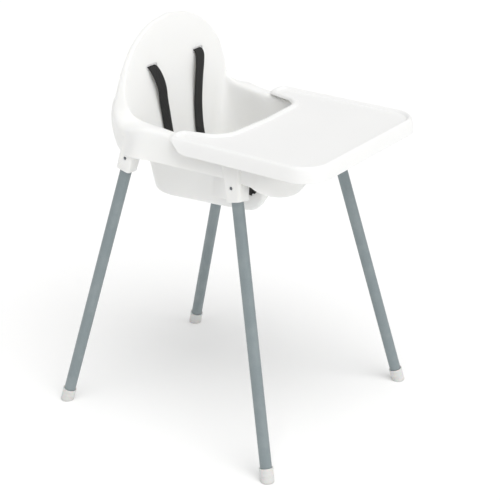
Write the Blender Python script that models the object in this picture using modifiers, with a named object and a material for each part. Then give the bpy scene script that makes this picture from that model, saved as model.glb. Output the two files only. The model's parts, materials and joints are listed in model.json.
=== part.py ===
"""Baby high chair: a moulded seat shell, a snap-on tray, four push-in tube legs and a harness.

Metres, +Z up. The child faces -Y and the chair's right-hand side is -X. The origin is on the
floor, midway between the tray's front edge and the rear feet.
"""
import math

import bmesh
import bpy
from mathutils import Matrix, Vector

# ---- driving dimensions -------------------------------------------------------------------------
WALL = 0.003                 # moulded wall of the seat shell
GAP = 0.0004                 # clearance between pieces that touch
OVERLAP = 0.002              # how far a cutter or a joined block runs past a face

LEG_RADIUS = 0.013
LEG_WALL = 0.0013
LEG_INSERTION = 0.058        # length of leg inside its socket
SOCKET_CLEARANCE = 0.0004
# foot centre on the floor, then the point where the leg enters its socket
LEG_LINES = {
    "rear": (Vector((0.2536, 0.3177, 0.0)), Vector((0.1972, 0.1643, 0.5956))),
    "front": (Vector((0.2826, -0.2731, 0.0)), Vector((0.1955, -0.1314, 0.5873))),
}
SOCKET_WALL = {"rear": 0.0045, "front": 0.0055}      # plastic around the tube at the mouth
SOCKET_TOP_Z = {"rear": 0.685, "front": 0.682}
# how far the top of a socket reaches beyond its mouth, toward the front, the back and the seat
SOCKET_FRONT_FLARE = {"rear": 0.004, "front": 0.012}
SOCKET_REAR_FLARE = 0.004
SOCKET_INNER_FLARE = {"rear": 0.0, "front": 0.010}
SOCKET_CORNER = 0.007
SIDES = {"right": -1.0, "left": 1.0}

CAP_RADIUS = 0.0158
CAP_HEIGHT = 0.031
CAP_FLOOR = 0.010            # plastic under the end of the tube, along the leg
CAP_OVERRUN = 0.003          # length below the floor plane that the flat foot face takes off

BUTTON_RADIUS = 0.0029
BUTTON_HEIGHT_ON_LEG = 0.030  # above the mouth of the socket, along the leg

TRAY_LOW_Z = 0.672
TRAY_RIM_Z = 0.705
TRAY_FLOOR_Z = 0.7000
TRAY_WALL = 0.0028

SHOULDER_WIDTH = 0.030
STRAP_WIDTH = 0.020          # waist and crotch straps
STRAP_THICKNESS = 0.0014

SEGMENTS = 20                # sides of a round piece

# ---- scene and small helpers --------------------------------------------------------------------


def clear_scene():
    for item in list(bpy.data.objects):
        bpy.data.objects.remove(item, do_unlink=True)


def new_collection(name):
    collection = bpy.data.collections.new(name)
    bpy.context.scene.collection.children.link(collection)
    return collection


def new_material(name, colour, roughness, metallic=0.0):
    material = bpy.data.materials.new(name)
    material.use_nodes = True
    shader = material.node_tree.nodes["Principled BSDF"]
    shader.inputs["Base Color"].default_value = (*colour, 1.0)
    shader.inputs["Roughness"].default_value = roughness
    shader.inputs["Metallic"].default_value = metallic
    return material


def new_object(name, mesh, material, collection):
    item = bpy.data.objects.new(name, mesh)
    item.data.materials.append(material)
    collection.objects.link(item)
    return item


def mesh_from(bm, name):
    bmesh.ops.recalc_face_normals(bm, faces=bm.faces)
    mesh = bpy.data.meshes.new(name)
    bm.to_mesh(mesh)
    bm.free()
    return mesh


def add_cutter(name, mesh, matrix=None):
    cutter = bpy.data.objects.new(name, mesh)
    CUTTERS.objects.link(cutter)
    cutter.hide_render = True
    cutter.display_type = "WIRE"
    if matrix is not None:
        cutter.matrix_world = matrix
    return cutter


def boolean(target, operand, operation="DIFFERENCE"):
    modifier = target.modifiers.new(operand.name, "BOOLEAN")
    modifier.operation = operation
    modifier.solver = "EXACT"
    modifier.object = operand


def box_mesh(name, size, bevel=0.0, centre=(0, 0, 0), segments=2):
    bm = bmesh.new()
    bmesh.ops.create_cube(bm, size=1.0)
    bmesh.ops.scale(bm, vec=size, verts=bm.verts)
    bmesh.ops.translate(bm, vec=centre, verts=bm.verts)
    if bevel > 0.0:
        bmesh.ops.bevel(bm, geom=bm.edges[:], offset=bevel, segments=segments, affect="EDGES", profile=0.5)
    return mesh_from(bm, name)


def turned_mesh(name, profile, closed=True):
    """A profile in (radius, height) for the Screw modifier, drawn down its outer side."""
    mesh = bpy.data.meshes.new(name)
    points = [(radius, 0.0, height) for radius, height in profile]
    edges = [(i, i + 1) for i in range(len(points) - 1)]
    if closed:
        edges.append((len(points) - 1, 0))
    mesh.from_pydata(points, edges, [])
    return mesh


def add_screw(item, steps=SEGMENTS):
    screw = item.modifiers.new("turn", "SCREW")
    screw.axis = "Z"
    screw.steps = steps
    screw.render_steps = steps
    screw.use_merge_vertices = True
    screw.merge_threshold = 0.00001
    screw.use_smooth_shade = True


def frame_along(direction, origin, side=Vector((1, 0, 0))):
    """Matrix whose Z runs along direction and whose X is as near to side as it can be."""
    z_axis = direction.normalized()
    x_axis = (side - z_axis * side.dot(z_axis)).normalized()
    y_axis = z_axis.cross(x_axis)
    matrix = Matrix((x_axis, y_axis, z_axis)).transposed().to_4x4()
    matrix.translation = origin
    return matrix


def spline(values, position):
    """Catmull-Rom through equally spaced values, numbers or vectors; even at both ends."""
    last = len(values) - 1
    index = min(int(position), last - 1)
    u = position - index
    p1 = values[index]
    p2 = values[index + 1]
    p0 = values[index - 1] if index > 0 else p1
    p3 = values[index + 2] if index + 2 <= last else p2
    return 0.5 * (2 * p1 + (p2 - p0) * u + (2 * p0 - 5 * p1 + 4 * p2 - p3) * u * u
                  + (3 * p1 - p0 - 3 * p2 + p3) * u ** 3)


def smooth_path(points, steps):
    """A smooth curve through hand-chosen route points."""
    route = [Vector(point) for point in points]
    count = (len(route) - 1) * steps
    return [spline(route, i / steps) for i in range(count)] + [route[-1]]


def mirrored(point, side):
    return Vector((point[0] * side, point[1], point[2]))


# ---- seat shell ---------------------------------------------------------------------------------
# The shell is one moulded skin. Ribs run out from the seat's centre to the edge of the skirt, in
# order from the front centre round one side to the back centre. Each rib has: the edge of the flat
# seat, the brim where the wall turns outward, the way it turns, the flange's width, the skirt's
# depth and the belly, which is the share of its run outward that the wall makes low down.
RIBS = [
    # seat edge                 brim                      outward         flange skirt  belly
    ((0.000, -0.078, 0.5410), (0.000, -0.206, 0.6670), (0.00, -1.00), 0.026, 0.046, 0.38),
    ((0.080, -0.082, 0.5410), (0.090, -0.206, 0.6670), (0.00, -1.00), 0.026, 0.046, 0.40),
    ((0.124, -0.112, 0.5470), (0.150, -0.199, 0.6690), (0.84, -0.54), 0.045, 0.049, 0.64),
    ((0.135, -0.100, 0.5460), (0.162, -0.172, 0.6760), (1.00, -0.10), 0.033, 0.047, 0.60),
    ((0.138, -0.050, 0.5430), (0.163, -0.095, 0.6870), (1.00, 0.00), 0.033, 0.052, 0.45),
    ((0.141, 0.022, 0.5405), (0.163, 0.032, 0.6915), (1.00, 0.00), 0.034, 0.058, 0.36),
    ((0.146, 0.082, 0.5395), (0.164, 0.088, 0.6970), (1.00, 0.05), 0.036, 0.063, 0.30),
    ((0.138, 0.119, 0.5410), (0.168, 0.132, 0.7040), (0.93, 0.37), 0.045, 0.064, 0.20),
    ((0.118, 0.139, 0.5430), (0.178, 0.163, 0.7250), (0.62, 0.78), 0.044, 0.056, 0.16),
    ((0.088, 0.142, 0.5430), (0.182, 0.174, 0.7620), (0.28, 0.96), 0.024, 0.022, 0.26),
    ((0.060, 0.138, 0.5430), (0.164, 0.180, 0.8110), (0.08, 1.00), 0.016, 0.010, 0.34),
    ((0.042, 0.139, 0.5430), (0.125, 0.185, 0.8530), (0.00, 1.00), 0.015, 0.008, 0.36),
    ((0.020, 0.140, 0.5430), (0.068, 0.189, 0.8830), (0.00, 1.00), 0.015, 0.008, 0.36),
    ((0.000, 0.140, 0.5430), (0.000, 0.190, 0.8950), (0.00, 1.00), 0.015, 0.008, 0.36),
]
SEAT_CENTRE = Vector((0.0, 0.030, 0.539))
RIB_STEPS = 3
SEAT_FRACTIONS = (0.45, 0.85)            # rings on the flat of the seat
WALL_STEPS = 6
SKIRT_FLARE = 0.16                        # outward run of the skirt per metre of depth
ROUND = 0.30                              # share of the flange taken by each rounded edge


def shell_rib(position):
    """Points of one rib, from the seat's centre to the edge of the skirt."""
    seat_edge = spline([Vector(rib[0]) for rib in RIBS], position)
    brims = [Vector(rib[1]) for rib in RIBS]
    brim = spline(brims, position)
    outward_plan = spline([Vector((*rib[2], 0.0)) for rib in RIBS], position).normalized()
    flange = spline([rib[3] for rib in RIBS], position)
    skirt = spline([rib[4] for rib in RIBS], position)
    last = len(RIBS) - 1
    if position in (0, last):
        tangent = Vector((1, 0, 0)) if position == 0 else Vector((-1, 0, 0))
    else:
        tangent = (spline(brims, min(position + 0.05, last)) - spline(brims, position - 0.05)).normalized()
    outward = (outward_plan - tangent * outward_plan.dot(tangent)).normalized()
    upward = outward.cross(tangent).normalized()

    points = [SEAT_CENTRE.lerp(seat_edge, fraction) for fraction in SEAT_FRACTIONS]
    across = Vector((brim.x - seat_edge.x, brim.y - seat_edge.y, 0.0))
    rise = Vector((0.0, 0.0, brim.z - seat_edge.z))
    belly = spline([rib[5] for rib in RIBS], position)
    foot = seat_edge + across * belly * 0.7
    middle = seat_edge + across * belly + rise * 0.38
    for i in range(WALL_STEPS + 1):
        s = i / WALL_STEPS
        r = 1.0 - s
        points.append(seat_edge * r ** 3 + foot * 3 * r * r * s + middle * 3 * r * s * s + brim * s ** 3)
    lift = min(flange, 0.02) * 0.16
    points.append(brim + outward * flange * ROUND + upward * lift)
    points.append(brim + outward * flange * (1 - ROUND * 0.6) + upward * lift)
    points.append(brim + outward * flange * 1.02 - upward * min(skirt * 0.3, 0.006))
    flare = outward * skirt * SKIRT_FLARE
    points.append(brim + outward * flange * 1.02 + flare * 0.5 - upward * skirt * 0.55)
    points.append(brim + outward * flange * 1.02 + flare - upward * skirt)
    return points


def shell_skin():
    """Half of the shell's skin, open at the plane of symmetry."""
    bm = bmesh.new()
    centre = bm.verts.new(SEAT_CENTRE)
    columns = []
    count = (len(RIBS) - 1) * RIB_STEPS
    for i in range(count + 1):
        rib = shell_rib(i / RIB_STEPS)
        if i in (0, count):
            rib = [Vector((0.0, point.y, point.z)) for point in rib]
        columns.append([bm.verts.new(point) for point in rib])
    for left, right in zip(columns, columns[1:]):
        bm.faces.new((centre, left[0], right[0]))
        for row in range(len(left) - 1):
            bm.faces.new((left[row], left[row + 1], right[row + 1], right[row]))
    return mesh_from(bm, "seat_shell")


def leg_frame(place, side):
    """Matrix of a leg: origin on the floor, Z up the leg, X outward from the chair."""
    foot, mouth = (mirrored(point, side) for point in LEG_LINES[place])
    return frame_along(mouth - foot, foot, Vector((side, 0, 0)))


def mouth_distance(place):
    foot, mouth = LEG_LINES[place]
    return (mouth - foot).length


def socket_block(place, side):
    """Tapered block round the top of a leg: square across the leg below, wide under the flange."""
    matrix = leg_frame(place, side)
    low = mouth_distance(place)
    half = LEG_RADIUS + SOCKET_WALL[place]
    high = low + (SOCKET_TOP_Z[place] - LEG_LINES[place][1].z) / matrix.col[2].z
    bm = bmesh.new()
    bmesh.ops.create_cube(bm, size=2.0)
    for vert in bm.verts:
        top = vert.co.z > 0
        toward_front = (matrix.col[1].y * vert.co.y) < 0
        vert.co.z = high if top else low
        vert.co.x *= half
        vert.co.y *= half
        if top:
            if vert.co.x < 0:
                vert.co.x -= SOCKET_INNER_FLARE[place]
            flare = SOCKET_FRONT_FLARE[place] if toward_front else SOCKET_REAR_FLARE
            vert.co.y += math.copysign(flare, vert.co.y)
    upright = [edge for edge in bm.edges if abs(edge.verts[0].co.z - edge.verts[1].co.z) > 0.01]
    bmesh.ops.bevel(bm, geom=upright, offset=SOCKET_CORNER, segments=3, affect="EDGES", profile=0.5)
    return add_cutter(f"socket_{place}_{side:+.0f}", mesh_from(bm, "socket"), matrix)


WEB_RIB = 4.35                           # where the web meets the bowl, as a position among the ribs
WEB_THICKNESS = 0.003
WEB_INSET = 0.0045                       # depth of the web's outer end inside the socket's corner
WEB_AT_SOCKET_Z = (0.5920, 0.6740)       # lower and upper edge at the socket
WEB_AT_BOWL_Z = (0.5620, 0.6840)         # lower and upper edge at the bowl
WEB_STEPS = 5


def wall_point(rib, z):
    """Where a rib's wall crosses a height, half a wall's thickness outside the seat's surface."""
    for lower, upper in zip(rib, rib[1:]):
        if lower.z <= z <= upper.z:
            point = lower.lerp(upper, (z - lower.z) / (upper.z - lower.z))
            return point + Vector((WALL / 2, 0, 0))
    return rib[-1]


def front_web(side):
    """Thin web from the outer rear corner of a front socket back to the bowl."""
    matrix = leg_frame("front", 1.0)
    reach = LEG_RADIUS + SOCKET_WALL["front"] - WEB_INSET
    wall = shell_rib(WEB_RIB)[len(SEAT_FRACTIONS):len(SEAT_FRACTIONS) + WALL_STEPS + 1]
    bm = bmesh.new()
    rings = []
    for i in range(WEB_STEPS):
        share = i / (WEB_STEPS - 1)
        z = WEB_AT_SOCKET_Z[0] + (WEB_AT_SOCKET_Z[1] - WEB_AT_SOCKET_Z[0]) * share
        socket_end = matrix @ Vector((reach, reach, 0.0))
        socket_end += matrix.col[2].to_3d() * (z - socket_end.z) / matrix.col[2].z
        bowl_end = wall_point(wall, WEB_AT_BOWL_Z[0] + (WEB_AT_BOWL_Z[1] - WEB_AT_BOWL_Z[0]) * share)
        along = bowl_end - socket_end
        across = Vector((along.y, -along.x, 0.0)).normalized() * WEB_THICKNESS / 2
        corners = (socket_end + across, socket_end - across, bowl_end - across, bowl_end + across)
        rings.append([bm.verts.new(mirrored(corner, side)) for corner in corners])
    for lower, upper in zip(rings, rings[1:]):
        for j in range(4):
            k = (j + 1) % 4
            bm.faces.new((lower[j], lower[k], upper[k], upper[j]))
    bm.faces.new(rings[0])
    bm.faces.new(rings[-1])
    return add_cutter(f"front_web_{side:+.0f}", mesh_from(bm, "front_web"))


def cylinder_cutter(name, radius, low, high, matrix, segments=SEGMENTS):
    bm = bmesh.new()
    bmesh.ops.create_cone(bm, cap_ends=True, segments=segments, radius1=radius, radius2=radius,
                          depth=high - low)
    bmesh.ops.translate(bm, vec=(0, 0, (low + high) / 2), verts=bm.verts)
    return add_cutter(name, mesh_from(bm, name), matrix)


LEG_HOLE_X = (0.021, 0.128)              # from the post between the openings to the side web
LEG_HOLE_REAR = Vector((0.0, -0.083, 0.541))
LEG_HOLE_FRONT = Vector((0.0, -0.192, 0.641))
LEG_HOLE_CORNER = 0.024


def leg_hole_cutter(side):
    """Rounded opening through the sloping front of the seat for one of the child's legs."""
    upward = LEG_HOLE_FRONT - LEG_HOLE_REAR
    middle = (LEG_HOLE_REAR + LEG_HOLE_FRONT) / 2
    middle.x = side * sum(LEG_HOLE_X) / 2
    matrix = frame_along(Vector((0, -upward.z, upward.y)), middle)
    bm = bmesh.new()
    bmesh.ops.create_cube(bm, size=1.0)
    bmesh.ops.scale(bm, vec=(LEG_HOLE_X[1] - LEG_HOLE_X[0], upward.length, 0.110), verts=bm.verts)
    corners = [edge for edge in bm.edges if abs(edge.verts[0].co.z - edge.verts[1].co.z) > 0.01]
    bmesh.ops.bevel(bm, geom=corners, offset=LEG_HOLE_CORNER, segments=5, affect="EDGES", profile=0.5)
    return add_cutter(f"leg_hole_{side:+.0f}", mesh_from(bm, "leg_hole"), matrix)


SHOULDER_SLOT_SIZE = (0.035, 0.040, 0.0085)               # width, cutter depth and height
CROTCH_SLOT_SIZE = (0.025, 0.0085, 0.030)
SHOULDER_SLOT = Vector((0.084, 0.180, 0.797))
CROTCH_SLOT = Vector((0.0, -0.064, 0.541))
WAIST_SLOT = Vector((0.1530, -0.1340, 0.6000))
WAIST_SLOT_SIZE = (0.026, 0.0110, 0.026)


def build_shell(material):
    shell = new_object("seat_shell", shell_skin(), material, PARTS)
    mirror = shell.modifiers.new("other side", "MIRROR")
    mirror.use_axis = (True, False, False)
    mirror.use_clip = True
    mirror.merge_threshold = 0.00001
    solid = shell.modifiers.new("wall", "SOLIDIFY")
    solid.thickness = WALL
    solid.offset = -1.0
    solid.use_even_offset = True
    for place in LEG_LINES:
        for side in SIDES.values():
            boolean(shell, socket_block(place, side), "UNION")
    for side in SIDES.values():
        boolean(shell, front_web(side), "UNION")
    for place in LEG_LINES:
        for side in SIDES.values():
            matrix = leg_frame(place, side)
            mouth = mouth_distance(place)
            bore = cylinder_cutter(f"bore_{place}_{side:+.0f}", LEG_RADIUS + SOCKET_CLEARANCE,
                                   mouth - OVERLAP, mouth + LEG_INSERTION + 0.001, matrix)
            boolean(shell, bore)
            hole = cylinder_cutter(f"button_hole_{place}_{side:+.0f}", BUTTON_RADIUS + 0.0006,
                                   LEG_RADIUS - OVERLAP, LEG_RADIUS + 0.030, button_frame(place, side), 16)
            boolean(shell, hole)
    for side in SIDES.values():
        boolean(shell, leg_hole_cutter(side))
        slot = box_mesh("slot", SHOULDER_SLOT_SIZE)
        boolean(shell, add_cutter(f"shoulder_slot_{side:+.0f}", slot,
                                  Matrix.Translation(mirrored(SHOULDER_SLOT, side))))
        slot = box_mesh("slot", WAIST_SLOT_SIZE)
        boolean(shell, add_cutter(f"waist_slot_{side:+.0f}", slot,
                                  Matrix.Translation(mirrored(WAIST_SLOT, side))))
    slot = box_mesh("slot", CROTCH_SLOT_SIZE)
    boolean(shell, add_cutter("crotch_slot", slot, Matrix.Translation(CROTCH_SLOT)))
    return shell


# ---- legs, foot caps and snap buttons -----------------------------------------------------------


def button_frame(place, side):
    """Matrix of a snap button: origin on the leg's axis, Z outward through the socket's wall."""
    leg = leg_frame(place, side)
    origin = leg @ Vector((0, 0, mouth_distance(place) + BUTTON_HEIGHT_ON_LEG))
    return frame_along(leg.col[0].to_3d(), origin, leg.col[2].to_3d())


def build_leg(place, side_name, material):
    side = SIDES[side_name]
    high = mouth_distance(place) + LEG_INSERTION
    inner = LEG_RADIUS - LEG_WALL
    profile = [(LEG_RADIUS, high), (LEG_RADIUS, CAP_FLOOR + GAP), (inner, CAP_FLOOR + GAP), (inner, high)]
    leg = new_object(f"leg_{place}_{side_name}", turned_mesh("leg", profile), material, PARTS)
    leg.matrix_world = leg_frame(place, side)
    add_screw(leg)
    hole = cylinder_cutter(f"leg_button_hole_{place}_{side_name}", BUTTON_RADIUS + 0.0003,
                           LEG_RADIUS - 0.006, LEG_RADIUS + 0.006, button_frame(place, side), 16)
    boolean(leg, hole)


def build_foot_cap(place, side_name, material):
    bore = LEG_RADIUS + GAP
    low = -CAP_OVERRUN
    edge = 0.0025
    profile = [
        (bore, CAP_HEIGHT), (CAP_RADIUS - 0.0006, CAP_HEIGHT), (CAP_RADIUS, CAP_HEIGHT - 0.001),
        (CAP_RADIUS, CAP_HEIGHT - 0.005), (CAP_RADIUS - 0.0006, CAP_HEIGHT - 0.006),
        (CAP_RADIUS - 0.0006, low + edge), (CAP_RADIUS - 0.0006 - edge * 0.3, low + edge * 0.3),
        (CAP_RADIUS - 0.0006 - edge, low), (0.0, low), (0.0, CAP_FLOOR), (bore, CAP_FLOOR),
    ]
    cap = new_object(f"foot_cap_{place}_{side_name}", turned_mesh("foot_cap", profile), material, PARTS)
    cap.matrix_world = leg_frame(place, SIDES[side_name])
    add_screw(cap)
    boolean(cap, FLOOR_CUTTER)


def build_snap_button(place, side_name, material):
    """Domed pin with a wider foot that stays inside the tube."""
    inner = LEG_RADIUS - LEG_WALL - GAP
    dome = 0.0012
    tip = LEG_RADIUS + SOCKET_WALL[place] + dome
    profile = [(0.0, tip)]
    for i in range(1, 4):
        angle = math.radians(90 - i * 30)
        profile.append((BUTTON_RADIUS * math.cos(angle), tip - dome + dome * math.sin(angle)))
    profile += [(BUTTON_RADIUS, inner - 0.0012), (BUTTON_RADIUS + 0.0014, inner - 0.0012),
                (BUTTON_RADIUS + 0.0014, inner - 0.0024), (0.0, inner - 0.0024)]
    button = new_object(f"snap_button_{place}_{side_name}", turned_mesh("button", profile, False),
                        material, PARTS)
    button.matrix_world = button_frame(place, SIDES[side_name])
    add_screw(button, 12)


def strip_mesh(name, path, widths, thickness, flat_normals):
    """A closed flat strip along a path. flat_normals point out of its face at each path point."""
    bm = bmesh.new()
    rings = []
    for i, point in enumerate(path):
        before = path[max(i - 1, 0)]
        after = path[min(i + 1, len(path) - 1)]
        tangent = (after - before).normalized()
        normal = (flat_normals[i] - tangent * flat_normals[i].dot(tangent)).normalized()
        across = tangent.cross(normal).normalized() * widths[i] / 2
        through = normal * thickness / 2
        corners = (point + across + through, point - across + through,
                   point - across - through, point + across - through)
        rings.append([bm.verts.new(corner) for corner in corners])
    for first, second in zip(rings, rings[1:]):
        for j in range(4):
            k = (j + 1) % 4
            bm.faces.new((first[j], first[k], second[k], second[j]))
    bm.faces.new(rings[0])
    bm.faces.new(reversed(rings[-1]))
    return mesh_from(bm, name)


SPRING_WIDTH = 0.008
SPRING_THICKNESS = 0.0007


def build_button_spring(place, side_name, material):
    """V-shaped leaf spring inside the tube: one arm under the button, the other on the far wall."""
    inner = LEG_RADIUS - LEG_WALL
    under_button = inner - GAP - 0.0024 - GAP - SPRING_THICKNESS / 2
    far_wall = -(math.sqrt(inner ** 2 - (SPRING_WIDTH / 2) ** 2) - GAP - SPRING_THICKNESS / 2)
    route = [(under_button, 0, 0.007), (under_button, 0, -0.006), (under_button * 0.72, 0, -0.022),
             (0.002, 0, -0.036), (-0.0025, 0, -0.0375), (-0.006, 0, -0.033), (far_wall, 0, -0.012),
             (far_wall, 0, -0.002)]
    path = smooth_path(route, 3)
    normals = []
    for i, point in enumerate(path):
        after = path[min(i + 1, len(path) - 1)]
        before = path[max(i - 1, 0)]
        normals.append((after - before).cross(Vector((0, 1, 0))))
    mesh = strip_mesh("button_spring", path, [SPRING_WIDTH] * len(path), SPRING_THICKNESS, normals)
    spring = new_object(f"button_spring_{place}_{side_name}", mesh, material, PARTS)
    leg = leg_frame(place, SIDES[side_name])
    along = mouth_distance(place) + BUTTON_HEIGHT_ON_LEG
    spring.matrix_world = leg @ Matrix.Translation(Vector((0, 0, along)))


# ---- tray ---------------------------------------------------------------------------------------
# Outline of the tray's lower edge, right half, in order from the front centre round the outer side
# and the tip of the arm to the middle of the cut-out: corner points with their rounding radius.
TRAY_CORNERS = [
    ((0.2270, -0.3360), 0.062),
    ((0.2235, 0.0380), 0.024),
    ((0.1640, 0.0380), 0.024),
    ((0.1440, -0.0560), 0.052),
]
TRAY_FRONT_Y = -0.3360
CUTOUT_Y = -0.0640
TRAY_LIP_Z = 0.6975                      # lower edge of the lip where it crosses the armrests
TRAY_RINGS = [
    # inset from the outline, share of the way from the lower edge up to the rim
    (0.0000, 0.00),
    (0.0020, 0.55),
    (0.0046, 0.88),
    (0.0082, 1.00),
    (0.0118, 1.00),
]
TRAY_BASIN = [(0.0150, 0.7025), (0.0175, TRAY_FLOOR_Z)]   # inset and height inside the rim
ARC_STEPS = 5


def rounded_corner(before, corner, after, radius, steps=ARC_STEPS):
    """Points of the arc that rounds a corner of an outline."""
    to_before = (before - corner).normalized()
    to_after = (after - corner).normalized()
    half_angle = to_before.angle(to_after) / 2
    reach = radius / math.tan(half_angle)
    start = corner + to_before * reach
    end = corner + to_after * reach
    centre = corner + (to_before + to_after).normalized() * radius / math.sin(half_angle)
    first = start - centre
    sweep = first.angle(end - centre)
    turn = 1.0 if first.x * (end - centre).y - first.y * (end - centre).x > 0 else -1.0
    arc = []
    for i in range(steps + 1):
        angle = turn * sweep * i / steps
        arc.append(centre + Vector((first.x * math.cos(angle) - first.y * math.sin(angle),
                                    first.x * math.sin(angle) + first.y * math.cos(angle))))
    return arc


def tray_outline():
    """Closed outline, counter-clockwise seen from above."""
    corners = [Vector(corner) for corner, _ in TRAY_CORNERS]
    path = [Vector((0.0, TRAY_FRONT_Y))] + corners + [Vector((0.0, CUTOUT_Y))]
    half = [path[0], Vector((0.085, TRAY_FRONT_Y))]
    for i, (_, radius) in enumerate(TRAY_CORNERS):
        half += rounded_corner(path[i], path[i + 1], path[i + 2], radius)
    half += [Vector((0.045, (CUTOUT_Y * 2 + TRAY_CORNERS[-1][0][1]) / 3)), path[-1]]
    other = [Vector((-point.x, point.y)) for point in reversed(half[1:-1])]
    return half + other


def inset(outline, distance):
    """The outline moved inward by a distance, each point along the mean of its two side normals."""
    moved = []
    for i, point in enumerate(outline):
        before = outline[i - 1]
        after = outline[(i + 1) % len(outline)]
        first = (point - before).normalized()
        second = (after - point).normalized()
        normal = Vector((-(first + second).y, (first + second).x)).normalized()
        scale = 1.0 / max(0.5, normal.dot(Vector((-first.y, first.x))))
        moved.append(point + normal * distance * scale)
    return moved


def ease(low, high, value):
    share = min(1.0, max(0.0, (value - low) / (high - low)))
    return share * share * (3 - 2 * share)


def tray_lower_edge(point):
    """Height of the tray's lower edge: a deep skirt outside, a shallow lip over the armrests."""
    outside = ease(0.185, 0.212, abs(point.x)) * (1 - ease(-0.006, 0.026, point.y))
    skirted = max(outside, 1 - ease(-0.25, -0.20, point.y))
    return TRAY_LIP_Z + (TRAY_LOW_Z - TRAY_LIP_Z) * skirted


def build_tray(material):
    outline = tray_outline()
    lower_edge = [tray_lower_edge(point) for point in outline]
    bm = bmesh.new()
    rings = []
    for distance, share in TRAY_RINGS:
        heights = [low + (TRAY_RIM_Z - low) * share for low in lower_edge]
        ring = zip(inset(outline, distance), heights)
        rings.append([bm.verts.new((*point, height)) for point, height in ring])
    for distance, height in TRAY_BASIN:
        rings.append([bm.verts.new((*point, height)) for point in inset(outline, distance)])
    count = len(outline)
    for lower, upper in zip(rings, rings[1:]):
        for i in range(count):
            k = (i + 1) % count
            bm.faces.new((lower[i], lower[k], upper[k], upper[i]))
    bm.faces.new(rings[-1])
    tray = new_object("tray", mesh_from(bm, "tray"), material, PARTS)
    solid = tray.modifiers.new("wall", "SOLIDIFY")
    solid.thickness = TRAY_WALL
    solid.offset = -1.0
    solid.use_even_offset = True
    return tray


# ---- harness ------------------------------------------------------------------------------------
BUCKLE_CENTRE = Vector((0.0, -0.011, 0.5505))
BUCKLE_SIZE = Vector((0.040, 0.046, 0.0120))
BUCKLE_BUTTON = Vector((0.0140, 0.0180, 0.0060))
BUCKLE_BUTTON_TOP = 0.0010                # height of the button above the buckle's face
TONGUE_Z = 0.5490
TONGUE_PLATE = Vector((0.0290, 0.0240, 0.0018))
TONGUE_HEAD = Vector((0.0330, 0.0430, 0.0040))
TONGUE_HEAD_X = 0.0530
TONGUE_TIP_X = 0.0095                     # the tongue's inner end
MOUTH = Vector((0.0120, 0.0256, 0.0026))  # mouth of the buckle: depth, width and height
STRAP_CLEARANCE = 0.0005
SLIDER_CENTRE = Vector((0.0530, 0.0515, 0.5450))
SLIDER_SIZE = (0.0380, 0.0160, 0.0046)
SLIDER_EDGE = 0.0009
SHOULDER_STOP_SIZE = (0.0380, 0.0036, 0.0110)
CROTCH_STOP_SIZE = (0.0300, 0.0110, 0.0036)
SHOULDER_ROUTE = [(0.0840, 0.1905, 0.7970), (0.0840, 0.1775, 0.7970), (0.0824, 0.1698, 0.7885),
                  (0.0752, 0.1640, 0.7690), (0.0685, 0.1612, 0.7450), (0.0645, 0.1605, 0.7150),
                  (0.0600, 0.1585, 0.6850), (0.0572, 0.1555, 0.6550), (0.0550, 0.1510, 0.6250),
                  (0.0538, 0.1440, 0.5980), (0.0533, 0.1320, 0.5750), (0.0530, 0.1130, 0.5560),
                  (0.0530, 0.0880, 0.5462), (0.0530, 0.0680, 0.5450), (0.0530, 0.0515, 0.5450),
                  (0.0530, 0.0350, 0.5450), (0.0530, 0.0230, 0.5470), (0.0530, 0.0115, 0.5490)]
WAIST_ROUTE = [(0.0530, -0.0350, 0.5490), (0.0535, -0.0440, 0.5482), (0.0640, -0.0590, 0.5505),
               (0.0890, -0.0720, 0.5570), (0.1180, -0.0920, 0.5640), (0.1340, -0.1160, 0.5840),
               (0.1420, -0.1290, 0.5970), (0.1490, -0.1330, 0.6000), (0.1560, -0.1345, 0.6000),
               (0.1605, -0.1405, 0.6040), (0.1645, -0.1490, 0.6120), (0.1665, -0.1620, 0.6165),
               (0.1668, -0.1740, 0.6200)]
CROTCH_ROUTE = [(0.0, -0.0346, 0.5480), (0.0, -0.0480, 0.5480), (0.0, -0.0600, 0.5465),
                (0.0, -0.0640, 0.5400), (0.0, -0.0640, 0.5330)]
WAIST_FOLD = (0.77, 0.83)                 # shares of the waist strap where its folded end widens
FOLD_WIDTH = 0.028                        # a strap folded on its diagonal
FOLD_TIP_WIDTH = 0.002
STOP_EDGE = 0.0010                        # rounding of a strap stop's edges


def folded_width(share):
    """Width of a waist strap along its length: its end is folded into a triangle."""
    if share > WAIST_FOLD[1]:
        return FOLD_WIDTH + (FOLD_TIP_WIDTH - FOLD_WIDTH) * (share - WAIST_FOLD[1]) / (1 - WAIST_FOLD[1])
    widening = max(0.0, (share - WAIST_FOLD[0]) / (WAIST_FOLD[1] - WAIST_FOLD[0]))
    return STRAP_WIDTH + (FOLD_WIDTH - STRAP_WIDTH) * widening


def build_strap(name, route, side, side_hints, material, width_at):
    """A flat strap. Its width turns evenly from the first hint's direction to the second's."""
    path = smooth_path([mirrored(point, side) for point in route], 3)
    last = len(path) - 1
    widths = []
    normals = []
    for i in range(last + 1):
        widths.append(width_at(i / last))
        hint = mirrored(side_hints[0].lerp(side_hints[1], min(1.0, i / last * 1.4)), side)
        tangent = path[min(i + 1, last)] - path[max(i - 1, 0)]
        normals.append(tangent.cross(hint).normalized())
    mesh = strip_mesh(name, path, widths, STRAP_THICKNESS, normals)
    return new_object(name, mesh, material, PARTS)


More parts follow.
